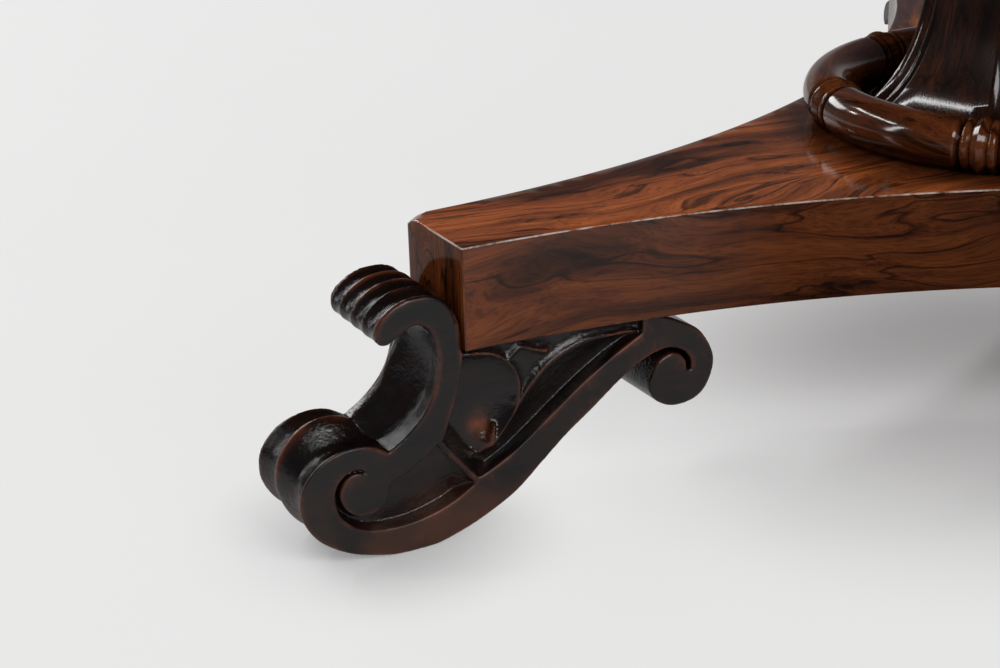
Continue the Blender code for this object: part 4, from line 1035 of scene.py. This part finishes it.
shank = node(screw_tree, "GeometryNodeMeshCone", {
    "Vertices": 12, "Radius Top": given["Shank Radius"], "Radius Bottom": given["Point Radius"],
    "Depth": given["Shank Length"]}).outputs["Mesh"]
sunk_shank = node(screw_tree, "GeometryNodeTransform", {"Geometry": shank,
                                                        "Translation": given["Shank Drop"]})
joined = screw_tree.nodes.new("GeometryNodeJoinGeometry")
screw_tree.links.new(slotted.outputs["Mesh"], joined.inputs[0])
screw_tree.links.new(sunk_shank.outputs[0], joined.inputs[0])
aim = node(screw_tree, "GeometryNodeInputNamedAttribute", {"Name": "aim"}, data_type="FLOAT_VECTOR")
turn = node(screw_tree, "GeometryNodeInputNamedAttribute", {"Name": "turn"}, data_type="FLOAT_VECTOR")
spun = node(screw_tree, "FunctionNodeEulerToRotation", {0: turn.outputs["Attribute"]}).outputs[0]
facing = node(screw_tree, "FunctionNodeAlignRotationToVector",
              {"Rotation": spun, "Vector": aim.outputs["Attribute"]}, axis="Z")
each = node(screw_tree, "GeometryNodeInstanceOnPoints", {
    "Points": given["Geometry"], "Instance": joined.outputs["Geometry"],
    "Rotation": facing.outputs["Rotation"]})
give_coated(screw_tree, each.outputs["Instances"], given["Finish"])


def slotted_screws(name, body, slot_name, finish, nodes, facing, head_radius, head_height, shank_radius):
    """Alike screws in place of CAD nodes, their heads all facing one way along an axis."""
    axis, sign = facing
    builder = bmesh.new()
    aims = builder.verts.layers.float_vector.new("aim")
    turns = builder.verts.layers.float_vector.new("turn")
    for index, stands_for in enumerate(nodes):
        low, high = (Vector(corner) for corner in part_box(stands_for))
        spot = (low + high) / 2
        spot[axis] = high[axis] if sign > 0 else low[axis]
        length = high[axis] - low[axis]
        vertex = builder.verts.new(spot)
        vertex[aims] = [sign if way == axis else 0.0 for way in range(3)]
        vertex[turns] = (0.0, 0.0, SLOT_TURN * index)
    made = grown(name, builder, screw_tree, {
        "Head Radius": head_radius, "Head Height": head_height, "Shank Radius": shank_radius,
        "Point Radius": shank_radius / 4, "Shank Length": length - head_height,
        "Slot Size": (3 * head_radius, head_radius * 0.28, head_height * 0.7),
        "Head Drop": (0.0, 0.0, -head_height), "Shank Drop": (0.0, 0.0, -length), "Finish": finish})
    settle(made, body, slot_name, *nodes)


for row in ("1", "2"):
    slotted_screws("foot_screws_" + row, "base", "forged_iron", forged_iron,
                   ["foot_screw_" + side + "_" + row for side in ARM_ANGLES], DOWNWARDS, **WOOD_SCREW)

# Top block and pivot pins
# A thick mahogany block on the column carries the top. Its front edge is rounded above, where the top swings
# over it, and square below, where the top stops. An iron pin in each end is the hinge.
WOOD_EASE = 0.0012


def softened(name, stands_for, width, material):
    """A copy of a CAD node's shape with its edges eased."""
    builder = bmesh.new()
    builder.from_mesh(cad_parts[stands_for].data)
    bmesh.ops.remove_doubles(builder, verts=builder.verts[:], dist=1e-6)
    bmesh.ops.dissolve_limit(builder, angle_limit=math.radians(1), verts=builder.verts[:],
                             edges=builder.edges[:])
    made = eased(finished(name, builder), width, 2)
    made.data.materials.clear()
    made.data.materials.append(material)
    smoothed(made, 30)
    return made


def grain_along(axis, offset):
    """Straight grain along one axis."""
    order = [axis] + [other for other in range(3) if other != axis]
    return lambda spots, middles: spots[:, order] + (offset, 0.0, 0.0)


block = softened("pivot_block", "top_block", WOOD_EASE, plain_mahogany)
set_grain(block.data, grain_along(1, 3.0))
settle(block, "base", "plain_mahogany", "top_block")
for side in ("left", "right"):
    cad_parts["pivot_pin_" + side].material_slots[0].material = forged_iron

# Keepers
# Two brass plates let on to the block's back end, each with a hole for a bolt and two brass screws.
PLATE_EASE = 0.0004
BRASS_SCREW = {"head_radius": 0.003, "head_height": 0.0025, "shank_radius": 0.0016}
BACKWARDS = (1, 1)
aged_brass, tree, shader = new_material("aged_brass")
place = node(tree, "ShaderNodeTexCoord", {}).outputs["Object"]
tarnish = scaled_noise(tree, place, (130.0, 130.0, 130.0), 5.0, 0.6).outputs["Fac"]
tarnished = colour_steps(tree, tarnish, [(0.30, (0.150, 0.090, 0.035)), (0.50, (0.420, 0.270, 0.085)),
                                         (0.68, (0.560, 0.390, 0.140))])
feed(tree, shader, {"Base Color": tarnished, "Metallic": 1.0,
                    "Roughness": ranged(tree, tarnish, to=(0.55, 0.28))})
for side in ("left", "right"):
    keeper = softened("keeper_plate_" + side, "keeper_" + side, PLATE_EASE, aged_brass)
    settle(keeper, "base", "aged_brass", "keeper_" + side)
    slotted_screws("keeper_screws_" + side, "base", "aged_brass", aged_brass,
                   ["keeper_screw_" + side + hand for hand in ("_inner", "_outer")], BACKWARDS, **BRASS_SCREW)

# Top board
# A round mahogany board with a rounded edge, its face veneered in two book-matched leaves of figured
# rosewood.
TABLE_HEIGHT = 0.735
TOP_RADIUS = 0.660
BOARD_THICKNESS = 0.024
BOARD_RINGS = (0.0, 0.30, 0.55)
ROUND_SIDES = 240
board_bottom = TABLE_HEIGHT - BOARD_THICKNESS
edge_round = BOARD_THICKNESS / 2
builder = bmesh.new()
turned(builder, [(radius, board_bottom) for radius in BOARD_RINGS]
       + half_round(TOP_RADIUS - edge_round, TABLE_HEIGHT - edge_round, edge_round, edge_round, 17)
       + [(radius, TABLE_HEIGHT) for radius in reversed(BOARD_RINGS)], ROUND_SIDES)
board = finished("veneered_top", builder, figured_rosewood)
board.data.materials.append(plain_mahogany)
for face in board.data.polygons:
    face.material_index = int(face.center.z < board_bottom + MM)


def book_matched(spots, middles):
    """Grain across the board from front to back, the same on both sides of its middle line."""
    return np.column_stack([spots[:, 1] + 31.0, np.abs(spots[:, 0]), spots[:, 2]])


set_grain(board.data, book_matched)
smoothed(board, 40)
settle(board, "top", "figured_rosewood", "top_board")

# Frieze and its bead
# A deep rosewood rim glued under the board, set back from its edge, with a rounded bead along its lower edge.
FRIEZE_INNER = 0.620
FRIEZE_OUTER = 0.646
FRIEZE_LOW = 0.6587
FRIEZE_TOP = 0.7107
BEAD_LOW = 0.6449
BEAD_TOP = 0.6584
BEAD_PROUD = 0.006
EASE = 0.0008
bead_middle = (BEAD_LOW + BEAD_TOP) / 2
rims = {"frieze": ("veneered_frieze", [(FRIEZE_INNER, FRIEZE_LOW), (FRIEZE_OUTER - EASE, FRIEZE_LOW),
                                       (FRIEZE_OUTER, FRIEZE_LOW + EASE), (FRIEZE_OUTER, FRIEZE_TOP),
                                       (FRIEZE_INNER, FRIEZE_TOP)]),
        "frieze_bead": ("rim_bead", [(FRIEZE_INNER, BEAD_TOP), (FRIEZE_INNER, BEAD_LOW)]
                        + half_round(FRIEZE_OUTER, bead_middle, (BEAD_TOP - BEAD_LOW) / 2, BEAD_PROUD, 13))}
for stands_for, (name, profile) in rims.items():
    builder = bmesh.new()
    turned(builder, profile, ROUND_SIDES, True)
    rim = finished(name, builder, figured_rosewood)
    set_grain(rim.data, grain_around(FRIEZE_OUTER, 41.0 + len(name)))
    smoothed(rim, 35)
    settle(rim, "top", "figured_rosewood", stands_for)

# Bearers
# Two mahogany rails under the board, thinned towards their ends, each on one of the pins. Three iron screws
# hold each.
for side in ("left", "right"):
    bearer = softened("top_bearer_" + side, "bearer_" + side, WOOD_EASE, plain_mahogany)
    set_grain(bearer.data, grain_along(1, 5.0 if side == "left" else 9.0))
    settle(bearer, "top", "plain_mahogany", "bearer_" + side)
    slotted_screws("bearer_screws_" + side, "top", "forged_iron", forged_iron,
                   ["bearer_screw_" + side + "_" + row for row in "123"], DOWNWARDS, **WOOD_SCREW)

# Sliding bolts
# A brass bolt with a turned knob runs in each guide plate's two bridges, screwed under the board behind the
# block.
BOLT_EASE = 0.0008
KNOB_STEP = 0.0008
KNOB_SHAPE = [(0.0033, 0.0), (0.0029, -0.0035), (0.0030, -0.0055), (0.0050, -0.0068), (0.0063, -0.0090),
              (0.0064, -0.0110), (0.0053, -0.0134), (0.0030, -0.0147), (0.0, -0.0150)]
for side in ("left", "right"):
    guide = softened("guide_plate_" + side, "bolt_guide_" + side, PLATE_EASE, aged_brass)
    settle(guide, "top", "aged_brass", "bolt_guide_" + side)
    slotted_screws("guide_screws_" + side, "top", "aged_brass", aged_brass,
                   ["guide_screw_" + side + hand for hand in ("_inner", "_outer")], DOWNWARDS, **BRASS_SCREW)
    bolt = softened("brass_bolt_" + side, "slide_bolt_" + side, BOLT_EASE, aged_brass)
    settle(bolt, "bolt_" + side, "aged_brass", "slide_bolt_" + side)
    builder = bmesh.new()
    turned(builder, [(0.0, 0.0)] + [tuple(spot) for spot in smooth_curve(KNOB_SHAPE, KNOB_STEP)], 32)
    low, high = (Vector(corner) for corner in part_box("bolt_knob_" + side))
    stem = ((low.x + high.x) / 2, (low.y + high.y) / 2, high.z)
    bmesh.ops.translate(builder, verts=builder.verts[:], vec=stem)
    knob = finished("brass_knob_" + side, builder, aged_brass)
    knob.data.shade_smooth()
    settle(knob, "bolt_" + side, "aged_brass", "bolt_knob_" + side)

# Studio
# A pale floor that runs out to a pale surround, soft light from the front right, a low window and thin strips
# behind on the left, and the photo's viewpoint.
FLOOR_SIZE = 9.0
PALE = (0.83, 0.83, 0.825, 1.0)
GLOW_SPAN = (0.08, 0.34)
GLOW_MOST = 0.88
FAR_SPAN = (1.2, 4.0)
FLOOR_CONTACT = 0.425
CONTACT_SPAN = (0.01, 0.11)
CONTACT_GLOW = 0.25
floor_paint, tree, floor_shader = new_material("pale_floor")
place = node(tree, "ShaderNodeTexCoord", {}).outputs["Object"]
cloud = scaled_noise(tree, place, (3.0, 3.0, 3.0), 3.0).outputs["Fac"]
clouded = colour_steps(tree, cloud, [(0.3, (0.70, 0.70, 0.70)), (0.7, (0.74, 0.74, 0.74))])
feed(tree, floor_shader, {"Base Color": clouded, "Roughness": 0.7})
away = node(tree, "ShaderNodeVectorMath", {0: place}, operation="LENGTH").outputs["Value"]
near = ranged(tree, away, GLOW_SPAN, (0.0, GLOW_MOST), "SMOOTHSTEP")
outer = worked_out(tree, "MAXIMUM", near, ranged(tree, away, FAR_SPAN, step="SMOOTHSTEP"))
for angle in map(math.radians, ARM_ANGLES.values()):
    contact = (FLOOR_CONTACT * math.cos(angle), FLOOR_CONTACT * math.sin(angle), 0.0)
    gap = node(tree, "ShaderNodeVectorMath", {0: place, 1: contact}, operation="DISTANCE").outputs["Value"]
    clear = ranged(tree, gap, CONTACT_SPAN, (CONTACT_GLOW, 1.0), "SMOOTHSTEP")
    outer = worked_out(tree, "MULTIPLY", outer, clear)
seen = node(tree, "ShaderNodeLightPath", {}).outputs["Is Camera Ray"]
paled = worked_out(tree, "MULTIPLY", outer, seen)
glow = node(tree, "ShaderNodeEmission", {"Color": PALE, "Strength": 1.0}).outputs[0]
blend = node(tree, "ShaderNodeMixShader", {0: paled, 1: floor_shader.outputs[0], 2: glow}).outputs[0]
tree.links.new(blend, tree.nodes["Material Output"].inputs["Surface"])
builder = bmesh.new()
bmesh.ops.create_grid(builder, x_segments=2, y_segments=2, size=FLOOR_SIZE)
floor = finished("floor", builder, floor_paint)

world = bpy.data.worlds.new("surround")
bpy.context.scene.world = world
world.use_nodes = True
tree = world.node_tree
path = node(tree, "ShaderNodeLightPath", {})
way = node(tree, "ShaderNodeTexCoord", {}).outputs["Generated"]
way = node(tree, "ShaderNodeSeparateXYZ", {"Vector": way})
low = ranged(tree, way.outputs["Z"], (0.25, 0.10), step="SMOOTHSTEP")
behind = ranged(tree, way.outputs["Y"], (0.0, 0.7), step="SMOOTHSTEP")
wall = worked_out(tree, "MULTIPLY", low, behind)
mirrored = mixed(tree, wall, (0.09, 0.09, 0.10, 1.0), (0.34, 0.33, 0.32, 1.0))
unseen = mixed(tree, path.outputs["Is Glossy Ray"], (0.37, 0.37, 0.38, 1.0), mirrored)
backdrop = mixed(tree, path.outputs["Is Camera Ray"], unseen, PALE)
feed(tree, tree.nodes["Background"], {"Color": backdrop, "Strength": 1.0})

for name, spot, aim, width, height, power in (
        ("window_light", (-1.547, 1.445, 0.98), (-0.3, -0.15, 0.12), 0.9, 0.4, 13.0),
        ("strip_light", (-1.530, 0.510, 1.400), (-0.05, -0.05, 0.17), 1.1, 0.10, 9.0),
        ("side_light", (-2.05, -0.25, 0.95), (-0.4, -0.2, 0.10), 0.12, 0.9, 7.0),
        ("lamp_light", (-1.836, 0.817, 1.065), (-0.05, -0.05, 0.17), 0.08, 0.08, 1.6),
        ("fill_light", (1.30, -2.15, 1.75), (-0.2, -0.15, 0.12), 1.5, 1.0, 50.0)):
    lamp = bpy.data.lights.new(name, "AREA")
    lamp.shape = "RECTANGLE"
    lamp.size = width
    lamp.size_y = height
    lamp.energy = power
    light = bpy.data.objects.new(name, lamp)
    light.location = spot
    light.rotation_euler = (Vector(aim) - Vector(spot)).to_track_quat("-Z", "Y").to_euler()
    bpy.context.scene.collection.objects.link(light)

CAMERA_SPOT = (-0.2506, -1.1354, 0.4721)
CAMERA_HEADING = math.radians(3.087)
CAMERA_PITCH = math.radians(90 - 21.446)
CAMERA_ROLL = -0.031936
lens = bpy.data.cameras.new("camera")
lens.sensor_width = 36.0
lens.lens = 72.73
camera = bpy.data.objects.new("camera", lens)
camera.matrix_world = (Matrix.Translation(CAMERA_SPOT) @ Matrix.Rotation(CAMERA_HEADING, 4, "Z")
                       @ Matrix.Rotation(CAMERA_PITCH, 4, "X") @ Matrix.Rotation(CAMERA_ROLL, 4, "Z"))
bpy.context.scene.collection.objects.link(camera)
bpy.context.scene.camera = camera
bpy.context.scene.view_settings.view_transform = "Standard"
